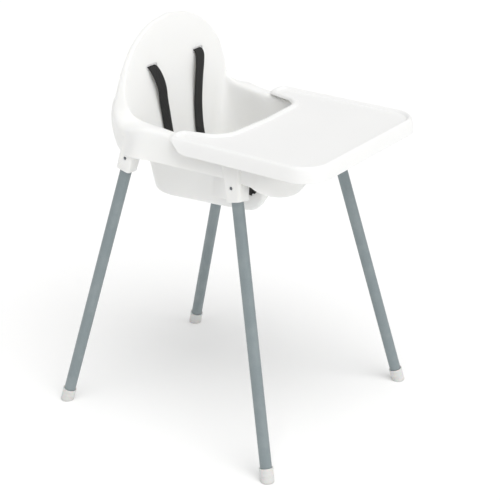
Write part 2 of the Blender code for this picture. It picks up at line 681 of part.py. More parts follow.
def build_buckle(plastic, button_plastic):
    housing = new_object("buckle_housing", box_mesh("housing", BUCKLE_SIZE, 0.0028), plastic, PARTS)
    housing.location = BUCKLE_CENTRE
    for side in SIDES.values():
        reach = BUCKLE_SIZE.x / 2 + OVERLAP
        mouth = box_mesh("mouth", (reach - TONGUE_TIP_X + GAP, MOUTH.y, MOUTH.z))
        centre = Vector((side * (reach + TONGUE_TIP_X - GAP) / 2, BUCKLE_CENTRE.y, TONGUE_Z))
        boolean(housing, add_cutter(f"buckle_mouth_{side:+.0f}", mouth, Matrix.Translation(centre)))
    top = BUCKLE_CENTRE.z + BUCKLE_SIZE.z / 2
    well_depth = BUCKLE_BUTTON.z + BUCKLE_BUTTON_TOP
    well = box_mesh("well", (BUCKLE_BUTTON.x + 2 * GAP, BUCKLE_BUTTON.y + 2 * GAP, well_depth + OVERLAP))
    well_centre = Vector((0, BUCKLE_CENTRE.y, top - well_depth / 2 + OVERLAP / 2))
    boolean(housing, add_cutter("buckle_button_well", well, Matrix.Translation(well_centre)))
    button = box_mesh("buckle_button", BUCKLE_BUTTON, 0.0008)
    button = new_object("buckle_button", button, button_plastic, PARTS)
    button.location = (0, BUCKLE_CENTRE.y, top + BUCKLE_BUTTON_TOP - BUCKLE_BUTTON.z / 2)


def build_tongue(side_name, plastic):
    """Flat plate that enters the buckle, with a wider head where two straps are sewn on."""
    side = SIDES[side_name]
    plate = box_mesh("tongue_plate", TONGUE_PLATE)
    head = box_mesh("tongue_head", TONGUE_HEAD, 0.0012)
    tongue = new_object(f"buckle_tongue_{side_name}", head, plastic, PARTS)
    tongue.location = (side * TONGUE_HEAD_X, BUCKLE_CENTRE.y, TONGUE_Z)
    centre = Vector((side * (TONGUE_TIP_X + TONGUE_PLATE.x / 2), BUCKLE_CENTRE.y, TONGUE_Z))
    boolean(tongue, add_cutter(f"tongue_plate_{side_name}", plate, Matrix.Translation(centre)), "UNION")


def build_slider(side_name, plastic):
    side = SIDES[side_name]
    block = box_mesh("slider", SLIDER_SIZE, SLIDER_EDGE)
    slider = new_object(f"strap_slider_{side_name}", block, plastic, PARTS)
    slider.location = mirrored(SLIDER_CENTRE, side)
    sleeve = (SHOULDER_WIDTH + 4 * GAP, SLIDER_SIZE[1] + 2 * OVERLAP, STRAP_THICKNESS + 2 * GAP)
    boolean(slider, add_cutter(f"slider_sleeve_{side_name}", box_mesh("sleeve", sleeve),
                               Matrix.Translation(slider.location)))


def build_harness(webbing, plastic, button_plastic):
    across = Vector((1, 0, 0))
    upright = Vector((0, 0, 1))
    for side_name, side in SIDES.items():
        build_strap(f"shoulder_strap_{side_name}", SHOULDER_ROUTE, side, (across, across), webbing,
                    lambda share: SHOULDER_WIDTH)
        build_strap(f"waist_strap_{side_name}", WAIST_ROUTE, side, (across, upright), webbing,
                    folded_width)
        build_tongue(side_name, plastic)
        build_slider(side_name, plastic)
        stop = box_mesh("stop", SHOULDER_STOP_SIZE, STOP_EDGE)
        stop = new_object(f"strap_stop_{side_name}", stop, plastic, PARTS)
        strap_end = mirrored(SHOULDER_ROUTE[0], side)
        stop.location = strap_end + Vector((0, STRAP_CLEARANCE + SHOULDER_STOP_SIZE[1] / 2, 0))
    build_strap("crotch_strap", CROTCH_ROUTE, 1.0, (across, across), webbing, lambda share: STRAP_WIDTH)
    stop = box_mesh("stop", CROTCH_STOP_SIZE, STOP_EDGE)
    stop = new_object("crotch_strap_stop", stop, plastic, PARTS)
    stop.location = Vector(CROTCH_ROUTE[-1]) - Vector((0, 0, STRAP_CLEARANCE + CROTCH_STOP_SIZE[2] / 2))
    build_buckle(plastic, button_plastic)


# ---- the whole chair ----------------------------------------------------------------------------
clear_scene()
PARTS = new_collection("baby_high_chair")
CUTTERS = new_collection("cutters")
FLOOR_CUTTER = add_cutter("floor_cutter", box_mesh("floor", (1.0, 1.0, 0.05), centre=(0, 0, -0.025)))

white_plastic = new_material("white_polypropylene", (0.88, 0.88, 0.87), 0.38)
tray_plastic = new_material("tray_polypropylene", (0.90, 0.90, 0.89), 0.34)
foot_plastic = new_material("foot_polyethylene", (0.80, 0.80, 0.78), 0.50)
leg_paint = new_material("leg_powder_coat", (0.28, 0.32, 0.36), 0.42, 0.3)
steel = new_material("spring_steel", (0.45, 0.46, 0.48), 0.30, 1.0)
webbing_black = new_material("webbing_black", (0.02, 0.02, 0.02), 0.75)
buckle_black = new_material("buckle_acetal", (0.03, 0.03, 0.03), 0.40)
buckle_grey = new_material("buckle_button_acetal", (0.30, 0.31, 0.32), 0.42)

build_shell(white_plastic)
build_tray(tray_plastic)
for leg_place in LEG_LINES:
    for leg_side in SIDES:
        build_leg(leg_place, leg_side, leg_paint)
        build_foot_cap(leg_place, leg_side, foot_plastic)
        build_snap_button(leg_place, leg_side, steel)
        build_button_spring(leg_place, leg_side, steel)
build_harness(webbing_black, buckle_black, buckle_grey)
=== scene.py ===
# %% [markdown]
# # A baby high chair
#
# The chair is one moulded plastic seat on four steel legs that push into sockets, with a
# lift-off tray and a black five-point harness. The measured model is loaded first and stays
# fixed. Each piece below is made again with the finer shape and finish of the real thing, and
# takes the place of the measured one.

# %% Load the measured model
import json
import math

import bmesh
import bpy
from mathutils import Matrix, Vector
from mathutils.bvhtree import BVHTree


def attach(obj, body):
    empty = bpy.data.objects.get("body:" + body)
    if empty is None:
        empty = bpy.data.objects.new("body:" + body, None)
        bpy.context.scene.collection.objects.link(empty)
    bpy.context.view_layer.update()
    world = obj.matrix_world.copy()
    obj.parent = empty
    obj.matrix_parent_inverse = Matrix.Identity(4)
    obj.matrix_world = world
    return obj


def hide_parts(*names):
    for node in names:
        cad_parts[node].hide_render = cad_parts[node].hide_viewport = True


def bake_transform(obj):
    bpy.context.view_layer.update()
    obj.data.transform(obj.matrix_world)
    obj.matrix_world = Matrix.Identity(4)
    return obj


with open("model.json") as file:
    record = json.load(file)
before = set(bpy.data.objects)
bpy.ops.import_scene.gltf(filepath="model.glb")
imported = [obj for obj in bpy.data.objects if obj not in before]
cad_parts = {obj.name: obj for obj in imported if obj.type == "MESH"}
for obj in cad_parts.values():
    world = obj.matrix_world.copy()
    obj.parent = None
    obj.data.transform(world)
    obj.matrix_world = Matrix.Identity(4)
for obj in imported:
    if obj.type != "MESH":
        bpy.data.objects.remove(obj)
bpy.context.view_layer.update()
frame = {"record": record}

# %% [markdown]
# ## Camera
#
# The chair is seen from its front right, a little above the tray. A long lens from 3.7 m away
# keeps the legs nearly parallel. The camera is set by its bearing, its height angle and a very
# small roll, so each of these can be changed on its own.

# %% Camera
CAMERA_BEARING = math.radians(-55.46)        # from straight in front, towards the right-hand side
CAMERA_ELEVATION = math.radians(23.64)
CAMERA_ROLL = math.radians(0.37)
CAMERA_PLACE = Vector((-2.6789, -1.8729, 1.8042))
LENS = 112.49                                # millimetres, on a sensor 36 mm wide

backward = Vector((math.sin(CAMERA_BEARING) * math.cos(CAMERA_ELEVATION),
                   -math.cos(CAMERA_BEARING) * math.cos(CAMERA_ELEVATION),
                   math.sin(CAMERA_ELEVATION)))
rightward = Vector((math.cos(CAMERA_BEARING), math.sin(CAMERA_BEARING), 0.0))
upward = backward.cross(rightward)
camera_x = rightward * math.cos(CAMERA_ROLL) + upward * math.sin(CAMERA_ROLL)
camera_y = upward * math.cos(CAMERA_ROLL) - rightward * math.sin(CAMERA_ROLL)

camera = bpy.data.objects.new("camera", bpy.data.cameras.new("camera"))
bpy.context.collection.objects.link(camera)
camera.matrix_world = (Matrix.Translation(CAMERA_PLACE)
                       @ Matrix((camera_x, camera_y, backward)).transposed().to_4x4())
camera.data.sensor_width = 36.0
camera.data.lens = LENS
camera.data.clip_end = 100.0
bpy.context.scene.camera = camera
print("camera is", round(CAMERA_PLACE.length, 2), "m from the origin")

# %% [markdown]
# ## Colours and nodes
#
# Colours are written as the hex values that a colour picker shows, and one function turns them
# into the linear values that shaders use. One more function adds a node, with its settings and
# with its inputs either set or linked, so that each material reads as a short list.

# %% Colours and nodes


def linear(hex_colour):
    """Linear RGBA of an sRGB hex colour."""
    channels = [int(hex_colour[i:i + 2], 16) / 255 for i in (1, 3, 5)]
    return (*(c / 12.92 if c <= 0.04045 else ((c + 0.055) / 1.055) ** 2.4 for c in channels), 1.0)


def add_node(tree, kind, inputs=None, **settings):
    """Add a node. An input given as another node's output is linked, any other is set."""
    node = tree.nodes.new(kind)
    for name, value in settings.items():
        setattr(node, name, value)
    for socket, value in (inputs or {}).items():
        if isinstance(value, bpy.types.NodeSocket):
            tree.links.new(value, node.inputs[socket])
        else:
            node.inputs[socket].default_value = value
    return node


def new_finish(name, colour, roughness, ior=1.5, metallic=0.0):
    """A material with its main shader and the coordinates in metres that its patterns use."""
    finish = bpy.data.materials.new(name)
    finish.use_nodes = True
    tree = finish.node_tree
    shader = tree.nodes["Principled BSDF"]
    shader.inputs["Base Color"].default_value = linear(colour)
    shader.inputs["Roughness"].default_value = roughness
    shader.inputs["IOR"].default_value = ior
    shader.inputs["Metallic"].default_value = metallic
    return finish, tree, shader, add_node(tree, "ShaderNodeTexCoord")


print("mid grey in linear light:", [round(c, 3) for c in linear("#808080")])

# %% [markdown]
# ## Floor and light
#
# The floor is a wide sheet of white studio paper. Light comes from an evenly lit white room, from
# a very broad lamp overhead and from a weaker one in front that brightens the back of the seat.
# So shapes are shown by soft shade alone and the feet stand in faint, blurred shadows. The paper
# is lit to full white. The Standard view keeps white paper white, where the default view would
# make it grey.

# %% Studio paper
paper, tree, shader, place = new_finish("studio_paper", "#fbfbfb", 0.9)
fibres = add_node(tree, "ShaderNodeTexNoise", {"Vector": place.outputs["Object"], "Scale": 40.0})
tone = add_node(tree, "ShaderNodeMix", {0: fibres.outputs["Fac"], 6: linear("#fbfbfb"),
                                        7: linear("#fcfcfb")}, data_type="RGBA")
tree.links.new(tone.outputs[2], shader.inputs["Base Color"])
shader.inputs["Specular IOR Level"].default_value = 0.1

FLOOR_HALF = 14.0                            # metres, past the edges of every view
bm = bmesh.new()
bmesh.ops.create_grid(bm, x_segments=8, y_segments=8, size=FLOOR_HALF)
floor_mesh = bpy.data.meshes.new("floor")
bm.to_mesh(floor_mesh)
bm.free()
floor = bpy.data.objects.new("floor", floor_mesh)
floor.location.z = -0.0002
floor.data.materials.append(paper)
bpy.context.collection.objects.link(floor)

# %% Light
ROOM_BRIGHTNESS = 0.64
OVERHEAD = (1.40, 45, (-0.24, -0.36, 0.90))  # brightness, spread in degrees, way to the lamp
FRONT_FILL = (0.44, 70, (-0.15, -0.93, 0.33))

scene = bpy.context.scene
scene.view_settings.view_transform = "Standard"
scene.world = bpy.data.worlds.new("white_room")
scene.world.use_nodes = True
room = scene.world.node_tree.nodes["Background"]
room.inputs["Color"].default_value = linear("#ffffff")
room.inputs["Strength"].default_value = ROOM_BRIGHTNESS


def soft_lamp(name, brightness, spread, direction):
    """A distant lamp; the wider its spread, the softer the edges of its shadows."""
    lamp = bpy.data.objects.new(name, bpy.data.lights.new(name, "SUN"))
    lamp.data.energy = brightness
    lamp.data.angle = math.radians(spread)
    lamp.rotation_euler = Vector(direction).to_track_quat("Z", "Y").to_euler()
    bpy.context.collection.objects.link(lamp)
    return lamp


lamps = [soft_lamp("overhead_lamp", *OVERHEAD), soft_lamp("front_fill", *FRONT_FILL)]
print("floor", 2 * FLOOR_HALF, "m wide,", len(lamps), "lamps")

# %% [markdown]
# ## The finishes
#
# Nine finishes cover the chair. Each is named for its real material and the way its surface was
# made. Patterns are worked out from real sizes in millimetres: a noise texture with a scale of
# 1000 has features of about 1 mm. Where the real grain is too fine to show, it is drawn coarser
# and the comment says so.

# %% [markdown]
# **Seat: injection-moulded polypropylene with an eroded satin grain.** The mould's surface is
# eroded by sparks, which leaves a fine grain that spreads highlights wide. The plastic is
# slightly milky, so it lets a little light through and its shade never goes dark. Handled edges
# wear a little smoother than the faces.

# %% Seat plastic
moulded_seat, tree, shader, place = new_finish("satin_moulded_polypropylene", "#efefed", 0.42, 1.49)
shader.inputs["Subsurface Weight"].default_value = 0.60
shader.inputs["Subsurface Radius"].default_value = (1.0, 0.98, 0.92)
shader.inputs["Subsurface Scale"].default_value = 0.006      # light travels about 6 mm
cloud = add_node(tree, "ShaderNodeTexNoise", {"Vector": place.outputs["Object"], "Scale": 9.0,
                                              "Detail": 3.0})
tone = add_node(tree, "ShaderNodeMix", {0: cloud.outputs["Fac"], 6: linear("#eeeeec"),
                                        7: linear("#f1f1ef")}, data_type="RGBA")
tree.links.new(tone.outputs[2], shader.inputs["Base Color"])
grain = add_node(tree, "ShaderNodeTexNoise", {"Vector": place.outputs["Object"],
                                              "Scale": 700.0, "Detail": 2.0})
# the real grain is about 0.15 mm; it is drawn at 1.4 mm
bump = add_node(tree, "ShaderNodeBump", {"Height": grain.outputs["Fac"], "Strength": 0.16,
                                         "Distance": 0.0002})
tree.links.new(bump.outputs["Normal"], shader.inputs["Normal"])
handled = add_node(tree, "ShaderNodeTexNoise", {"Vector": place.outputs["Object"], "Scale": 30.0,
                                                "Detail": 4.0})
edges = add_node(tree, "ShaderNodeNewGeometry")
worn = add_node(tree, "ShaderNodeMapRange", {"Value": edges.outputs["Pointiness"], "From Min": 0.51,
                                             "From Max": 0.58, "To Min": 0.0, "To Max": -0.10})
satin = add_node(tree, "ShaderNodeMapRange", {"Value": handled.outputs["Fac"], "To Min": 0.36,
                                              "To Max": 0.48})
total = add_node(tree, "ShaderNodeMath", {0: satin.outputs[0], 1: worn.outputs[0]}, operation="ADD")
tree.links.new(total.outputs[0], shader.inputs["Roughness"])

# %% [markdown]
# **Tray: moulded polypropylene from a polished mould.** A tray has to wipe clean, so its mould
# is smoother and its highlights tighter. Plates and cutlery leave hair-fine scratches that run
# every way, which show only as a slight change in gloss.

# %% Tray plastic
moulded_tray, tree, shader, place = new_finish("smooth_moulded_polypropylene", "#ececeb", 0.32, 1.49)
shader.inputs["Subsurface Weight"].default_value = 0.10
shader.inputs["Subsurface Radius"].default_value = (1.0, 0.98, 0.92)
shader.inputs["Subsurface Scale"].default_value = 0.004
cloud = add_node(tree, "ShaderNodeTexNoise", {"Vector": place.outputs["Object"], "Scale": 7.0,
                                              "Detail": 2.0})
tone = add_node(tree, "ShaderNodeMix", {0: cloud.outputs["Fac"], 6: linear("#eeeeed"),
                                        7: linear("#f1f1f0")}, data_type="RGBA")
tree.links.new(tone.outputs[2], shader.inputs["Base Color"])
gloss = None
for turn, scale in ((0.5, (16.0, 500.0, 16.0)), (2.1, (22.0, 650.0, 22.0))):
    # a real scratch is 0.05 mm wide and 60 mm long; these are 1.5 to 2 mm wide
    rotated = add_node(tree, "ShaderNodeMapping", {"Vector": place.outputs["Object"],
                                                   "Rotation": (0.0, 0.0, turn), "Scale": scale})
    streaks = add_node(tree, "ShaderNodeTexNoise", {"Vector": rotated.outputs[0], "Scale": 1.0,
                                                    "Detail": 2.0})
    scratch = add_node(tree, "ShaderNodeMapRange", {"Value": streaks.outputs["Fac"],
                                                    "From Min": 0.58, "From Max": 0.72,
                                                    "To Min": 0.28 if gloss is None else 0.0,
                                                    "To Max": 0.38 if gloss is None else 0.10})
    gloss = scratch if gloss is None else add_node(
        tree, "ShaderNodeMath", {0: gloss.outputs[0], 1: scratch.outputs[0]}, operation="ADD")
tree.links.new(gloss.outputs[0], shader.inputs["Roughness"])
ripple = add_node(tree, "ShaderNodeTexNoise", {"Vector": place.outputs["Object"], "Scale": 260.0})
bump = add_node(tree, "ShaderNodeBump", {"Height": ripple.outputs["Fac"], "Strength": 0.05,
                                         "Distance": 0.0003})
tree.links.new(bump.outputs["Normal"], shader.inputs["Normal"])

# %% [markdown]
# **Legs: powder-coated steel tube.** The powder is a silver grey with fine aluminium flake. It
# is baked on, and flows into a slight orange peel, so the highlight along the tube is broad and
# a little broken. Legs that are pulled in and out get rubbed, so there are a few lighter streaks.

# %% Leg coat
leg_coat, tree, shader, place = new_finish("silver_grey_powder_coat", "#848e92", 0.44, 1.5, 0.25)
flake = add_node(tree, "ShaderNodeTexVoronoi", {"Vector": place.outputs["Object"], "Scale": 900.0})
# real flake is 0.03 mm; it is drawn at 1.1 mm, and faint
drift = add_node(tree, "ShaderNodeTexNoise", {"Vector": place.outputs["Object"], "Scale": 22.0,
                                              "Detail": 4.0})
speckle = add_node(tree, "ShaderNodeMix", {0: flake.outputs["Distance"], 6: linear("#7f8a8e"),
                                           7: linear("#8a9496")}, data_type="RGBA")
rubbed = add_node(tree, "ShaderNodeMapRange", {"Value": drift.outputs["Fac"], "From Min": 0.45,
                                               "From Max": 0.80, "To Min": 0.0, "To Max": 0.6})
tone = add_node(tree, "ShaderNodeMix", {0: rubbed.outputs[0], 6: speckle.outputs[2],
                                        7: linear("#9aa2a4")}, data_type="RGBA")
tree.links.new(tone.outputs[2], shader.inputs["Base Color"])
peel = add_node(tree, "ShaderNodeTexNoise", {"Vector": place.outputs["Object"], "Scale": 450.0,
                                             "Detail": 1.0})
bump = add_node(tree, "ShaderNodeBump", {"Height": peel.outputs["Fac"], "Strength": 0.12,
                                         "Distance": 0.0002})
tree.links.new(bump.outputs["Normal"], shader.inputs["Normal"])
satin = add_node(tree, "ShaderNodeMapRange", {"Value": drift.outputs["Fac"], "To Min": 0.40,
                                              "To Max": 0.50})
tree.links.new(satin.outputs[0], shader.inputs["Roughness"])

# %% [markdown]
# **Foot caps: moulded polyethylene.** It is softer and waxier than the seat's plastic, and a
# shade greyer. The floor scuffs it, so the lowest few millimetres are duller and a little dirty.

# %% Foot plastic
foot_plastic, tree, shader, place = new_finish("waxy_moulded_polyethylene", "#d6d6d4", 0.50, 1.51)
shader.inputs["Subsurface Weight"].default_value = 0.15
shader.inputs["Subsurface Scale"].default_value = 0.003
height = add_node(tree, "ShaderNodeSeparateXYZ", {0: place.outputs["Object"]})
marks = add_node(tree, "ShaderNodeTexNoise", {"Vector": place.outputs["Object"], "Scale": 220.0,
                                              "Detail": 5.0})
low_down = add_node(tree, "ShaderNodeMapRange", {"Value": height.outputs["Z"], "From Min": 0.0,
                                                 "From Max": 0.010, "To Min": 0.55, "To Max": 0.0})
scuff = add_node(tree, "ShaderNodeMath", {0: low_down.outputs[0], 1: marks.outputs["Fac"]},
                 operation="MULTIPLY")
tone = add_node(tree, "ShaderNodeMix", {0: scuff.outputs[0], 6: linear("#d6d6d4"),
                                        7: linear("#aeada9")}, data_type="RGBA")
tree.links.new(tone.outputs[2], shader.inputs["Base Color"])
dull = add_node(tree, "ShaderNodeMapRange", {"Value": scuff.outputs[0], "To Min": 0.46, "To Max": 0.75})
tree.links.new(dull.outputs[0], shader.inputs["Roughness"])
bump = add_node(tree, "ShaderNodeBump", {"Height": marks.outputs["Fac"], "Strength": 0.10,
                                         "Distance": 0.0002})
tree.links.new(bump.outputs["Normal"], shader.inputs["Normal"])

# %% [markdown]
# **Straps: woven polyester webbing.** Warp threads run the length of the strap in ribs, and the
# weft crosses them in a twill, so the strap has fine lengthwise lines with a slanting break, and
# a silky sheen. The pattern runs along the strap itself, so its coordinates are the strap's own
# width and length in metres.

# %% Webbing
RIB_WIDTH = 0.0020                           # real ribs are 0.8 mm; drawn at 2 mm to be seen
TWILL_LENGTH = 0.0026                        # real picks are 0.9 mm apart
webbing, tree, shader, place = new_finish("woven_polyester_webbing", "#1c1c1c", 0.72, 1.55)
shader.inputs["Sheen Weight"].default_value = 0.08
shader.inputs["Sheen Roughness"].default_value = 0.4
shader.inputs["Sheen Tint"].default_value = linear("#b8b8b8")
ribs = add_node(tree, "ShaderNodeTexWave", {"Vector": place.outputs["UV"],
                                            "Scale": 0.314 / RIB_WIDTH}, bands_direction="X")
twill = add_node(tree, "ShaderNodeTexWave", {"Vector": place.outputs["UV"],
                                             "Scale": 0.22 / TWILL_LENGTH}, bands_direction="DIAGONAL")
weave = add_node(tree, "ShaderNodeMath", {0: ribs.outputs["Fac"], 1: twill.outputs["Fac"]},
                 operation="MULTIPLY")
fuzz = add_node(tree, "ShaderNodeTexNoise", {"Vector": place.outputs["UV"], "Scale": 900.0,
                                             "Detail": 3.0})
tone = add_node(tree, "ShaderNodeMix", {0: weave.outputs[0], 6: linear("#0b0b0b"),
                                        7: linear("#232323")}, data_type="RGBA")
flecked = add_node(tree, "ShaderNodeMix", {0: fuzz.outputs["Fac"], 6: tone.outputs[2],
                                           7: linear("#171717")}, data_type="RGBA")
tree.links.new(flecked.outputs[2], shader.inputs["Base Color"])
bump = add_node(tree, "ShaderNodeBump", {"Height": weave.outputs[0], "Strength": 0.6,
                                         "Distance": 0.0003})
tree.links.new(bump.outputs["Normal"], shader.inputs["Normal"])
dry = add_node(tree, "ShaderNodeMapRange", {"Value": weave.outputs[0], "To Min": 0.85, "To Max": 0.60})
tree.links.new(dry.outputs[0], shader.inputs["Roughness"])

# %% [markdown]
# **Sewing thread: bonded polyester.** It is a smoother and slightly lighter black than the
# webbing, so a row of stitches can be made out.

# %% Thread
thread, tree, shader, place = new_finish("bonded_polyester_thread", "#3c3c3c", 0.45, 1.55)
twist = add_node(tree, "ShaderNodeTexNoise", {"Vector": place.outputs["Object"], "Scale": 2500.0})
tone = add_node(tree, "ShaderNodeMix", {0: twist.outputs["Fac"], 6: linear("#2c2c2c"),
                                        7: linear("#4b4b4b")}, data_type="RGBA")
tree.links.new(tone.outputs[2], shader.inputs["Base Color"])

# %% [markdown]
# **Buckle parts: acetal with a spark-eroded grain.** Acetal is a dense, slippery plastic. The
# grain makes it a soft black, and its edges polish bright as hands wear them.

# %% Buckle plastics


def acetal(name, dark, light):
    """Grained acetal in one colour, with edges worn a little lighter and smoother."""
    finish, tree, shader, place = new_finish(name, dark, 0.42, 1.48)
    grain = add_node(tree, "ShaderNodeTexNoise", {"Vector": place.outputs["Object"],
                                                  "Scale": 1600.0, "Detail": 2.0})
    edges = add_node(tree, "ShaderNodeNewGeometry")
    worn = add_node(tree, "ShaderNodeMapRange", {"Value": edges.outputs["Pointiness"],
                                                 "From Min": 0.52, "From Max": 0.62})
    tone = add_node(tree, "ShaderNodeMix", {0: worn.outputs[0], 6: linear(dark), 7: linear(light)},
                    data_type="RGBA")
    polish = add_node(tree, "ShaderNodeMapRange", {"Value": worn.outputs[0], "To Min": 0.46,
                                                   "To Max": 0.30})
    bump = add_node(tree, "ShaderNodeBump", {"Height": grain.outputs["Fac"], "Strength": 0.25,
                                             "Distance": 0.0001})
    tree.links.new(tone.outputs[2], shader.inputs["Base Color"])
    tree.links.new(polish.outputs[0], shader.inputs["Roughness"])
    tree.links.new(bump.outputs["Normal"], shader.inputs["Normal"])
    return finish


black_acetal = acetal("spark_eroded_black_acetal", "#232323", "#3a3a3a")
grey_acetal = acetal("spark_eroded_grey_acetal", "#8f9193", "#a3a5a7")

# %% [markdown]
# ** Snap buttons and leaf springs: rolled spring steel.** Its grey is darker than bright steel,
# and the extra dark is painted shade, so that each pin shows as a dark dot. Rolling leaves fine
# lines along the strip, which stretch its highlights.

# %% Spring steel
# painted shade: this steel and both of its tones are far darker than bright steel, for the dark dot of each
# pin
shade_painted_steel, tree, shader, place = new_finish("dark_pin_steel_painted_shade", "#6f7377", 0.32, 1.5, 1.0)
stretched = add_node(tree, "ShaderNodeMapping", {"Vector": place.outputs["Object"],
                                                 "Scale": (1800.0, 1800.0, 90.0)})
lines = add_node(tree, "ShaderNodeTexNoise", {"Vector": stretched.outputs[0], "Scale": 1.0,
                                              "Detail": 2.0})
tone = add_node(tree, "ShaderNodeMix", {0: lines.outputs["Fac"], 6: linear("#63676b"),
                                        7: linear("#7f8387")}, data_type="RGBA")
tree.links.new(tone.outputs[2], shader.inputs["Base Color"])
rolled = add_node(tree, "ShaderNodeMapRange", {"Value": lines.outputs["Fac"], "To Min": 0.24,
                                               "To Max": 0.42})
tree.links.new(rolled.outputs[0], shader.inputs["Roughness"])
print(len(bpy.data.materials), "materials so far")

# %% [markdown]
# ## Making pieces
#
# Every piece is a mesh, sometimes with modifiers and tools that cut into it. Once its modifiers
# have done their work they are settled into the mesh, and the tools are thrown away. Faces are
# shaded smooth except across sharp corners. Then the piece takes the place of a measured node,
# and rides on the same body.

# %% Making and settling pieces
TOOLS = []


def to_mesh(bm, name):
    bmesh.ops.recalc_face_normals(bm, faces=bm.faces)
    mesh = bpy.data.meshes.new(name)
    bm.to_mesh(mesh)
    bm.free()
    return mesh


def new_piece(name, mesh, *finishes):
    piece = bpy.data.objects.new(name, mesh)
    for finish in finishes:
        mesh.materials.append(finish)
    bpy.context.collection.objects.link(piece)
    return piece


def shape_with(piece, mesh, operation="DIFFERENCE", matrix=None, solver="MANIFOLD"):
    """Cut a mesh out of a piece, or join it on, with a Boolean modifier."""
    tool = bpy.data.objects.new("tool", mesh)
    bpy.context.collection.objects.link(tool)
    tool.matrix_world = matrix if matrix is not None else Matrix()
    TOOLS.append(tool)
    modifier = piece.modifiers.new(operation.lower(), "BOOLEAN")
    modifier.operation = operation
    modifier.solver = solver
    modifier.object = tool


def settle(piece, sharp_angle=35.0):
    """Keep what the modifiers made, in the chair's own coordinates."""
    bpy.context.view_layer.update()
    graph = bpy.context.evaluated_depsgraph_get()
    mesh = bpy.data.meshes.new_from_object(piece.evaluated_get(graph))
    mesh.transform(piece.matrix_world)
    piece.modifiers.clear()
    piece.data = mesh
    piece.matrix_world = Matrix()
    mesh.polygons.foreach_set("use_smooth", [True] * len(mesh.polygons))
    mesh.set_sharp_from_angle(angle=math.radians(sharp_angle))
    for tool in TOOLS:
        bpy.data.objects.remove(tool, do_unlink=True)
    TOOLS.clear()


def add_wall(piece, thickness, edge):
    """Give a sheet its wall on the hidden side, and a soft lower edge."""
    solid = piece.modifiers.new("wall", "SOLIDIFY")
    solid.thickness = thickness
    solid.offset = -1.0
    solid.use_even_offset = True
    bevel = piece.modifiers.new("soft edge", "BEVEL")
    bevel.width = edge
    bevel.segments = 2
    bevel.limit_method = "ANGLE"
    bevel.angle_limit = math.radians(50)


BODY_OF = {node: body for body, nodes in frame["record"]["behaviour"]["bodies"].items()
           for node in nodes}


def stand_in(piece, node):
    """Put a finished piece in a measured node's place, riding on that node's body."""
    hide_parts(node)
    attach(piece, BODY_OF[node])


# %% [markdown]
# ## Curves and outlines
#
# Nearly every piece is drawn by moving a small outline along a path, or by joining rings of
# points. These helpers make smooth paths through a few points, rounded outlines, skins over
# rings, and coordinate frames that lie along a leg.

# %% Curves and outlines


def spline(values, position):
    """Smooth value at a position along a list of evenly spaced values."""
    last = len(values) - 1
    index = min(int(position), last - 1)
    u = position - index
    p1 = values[index]
    p2 = values[index + 1]
    p0 = values[index - 1] if index > 0 else p1
    p3 = values[index + 2] if index + 2 <= last else p2
    return 0.5 * (2 * p1 + (p2 - p0) * u + (2 * p0 - 5 * p1 + 4 * p2 - p3) * u * u
                  + (3 * p1 - p0 - 3 * p2 + p3) * u ** 3)


def smooth_path(points, steps):
    route = [Vector(point) for point in points]
    count = (len(route) - 1) * steps
    return [spline(route, i / steps) for i in range(count)] + [route[-1]]


def mirrored(point, side):
    return Vector((point[0] * side, point[1], point[2]))


def frame_along(direction, origin, side=Vector((1, 0, 0))):
    """Matrix whose Z runs along a direction and whose X is as near to side as it can be."""
    z_axis = direction.normalized()
    x_axis = (side - z_axis * side.dot(z_axis)).normalized()
    matrix = Matrix((x_axis, z_axis.cross(x_axis), z_axis)).transposed().to_4x4()
    matrix.translation = origin
    return matrix


def rounded_outline(low, high, radius, steps=6):
    """Rounded rectangle from one corner to the opposite one, counter-clockwise."""
    outline = []
    for corner, (x, y) in enumerate(((high[0], high[1]), (low[0], high[1]),
                                     (low[0], low[1]), (high[0], low[1]))):
        centre = Vector((x - math.copysign(radius, x - (low[0] + high[0]) / 2),
                         y - math.copysign(radius, y - (low[1] + high[1]) / 2)))
        for i in range(steps + 1):
            angle = math.pi / 2 * (corner + i / steps)
            outline.append(centre + Vector((math.cos(angle), math.sin(angle))) * radius)
    return outline


def skin_rings(bm, rings, closed=True, capped=True):
    """Faces between rings of points, which are lists of equal length."""
    loops = [[bm.verts.new(point) for point in ring] for ring in rings]
    count = len(loops[0])
    pairs = list(zip(loops, loops[1:]))
    if not capped:
        pairs.append((loops[-1], loops[0]))
    for lower, upper in pairs:
        for i in range(count if closed else count - 1):
            k = (i + 1) % count
            bm.faces.new((lower[i], lower[k], upper[k], upper[i]))
    if capped:
        bm.faces.new(loops[0])
        bm.faces.new(reversed(loops[-1]))
    return loops


def rounded_block(size, radius, crown=0.0, steps=4):
    """A block with rounded corners and edges, and a top that rises by crown in its middle."""
    half = Vector(size) / 2
    edge = min(radius, half.z * 0.98)
    rings = []
    for i in range(steps + 1):
        angle = math.pi / 2 * i / steps
        inset_by = edge * (1 - math.sin(angle))
        rings.append((inset_by, -half.z + edge * (1 - math.cos(angle))))
    rings += [(inset_by, -height) for inset_by, height in reversed(rings)]
    for share in (0.15, 0.4, 0.7):
        rings.append((edge + (min(half.x, half.y) - edge) * share, half.z + crown * share))
    bm = bmesh.new()
    skin_rings(bm, [[(x, y, height) for x, y in
                     rounded_outline((-half.x + gap, -half.y + gap), (half.x - gap, half.y - gap),
                                     max(radius * 1.4 - gap, 0.0002))]
                    for gap, height in rings])
    return to_mesh(bm, "block")


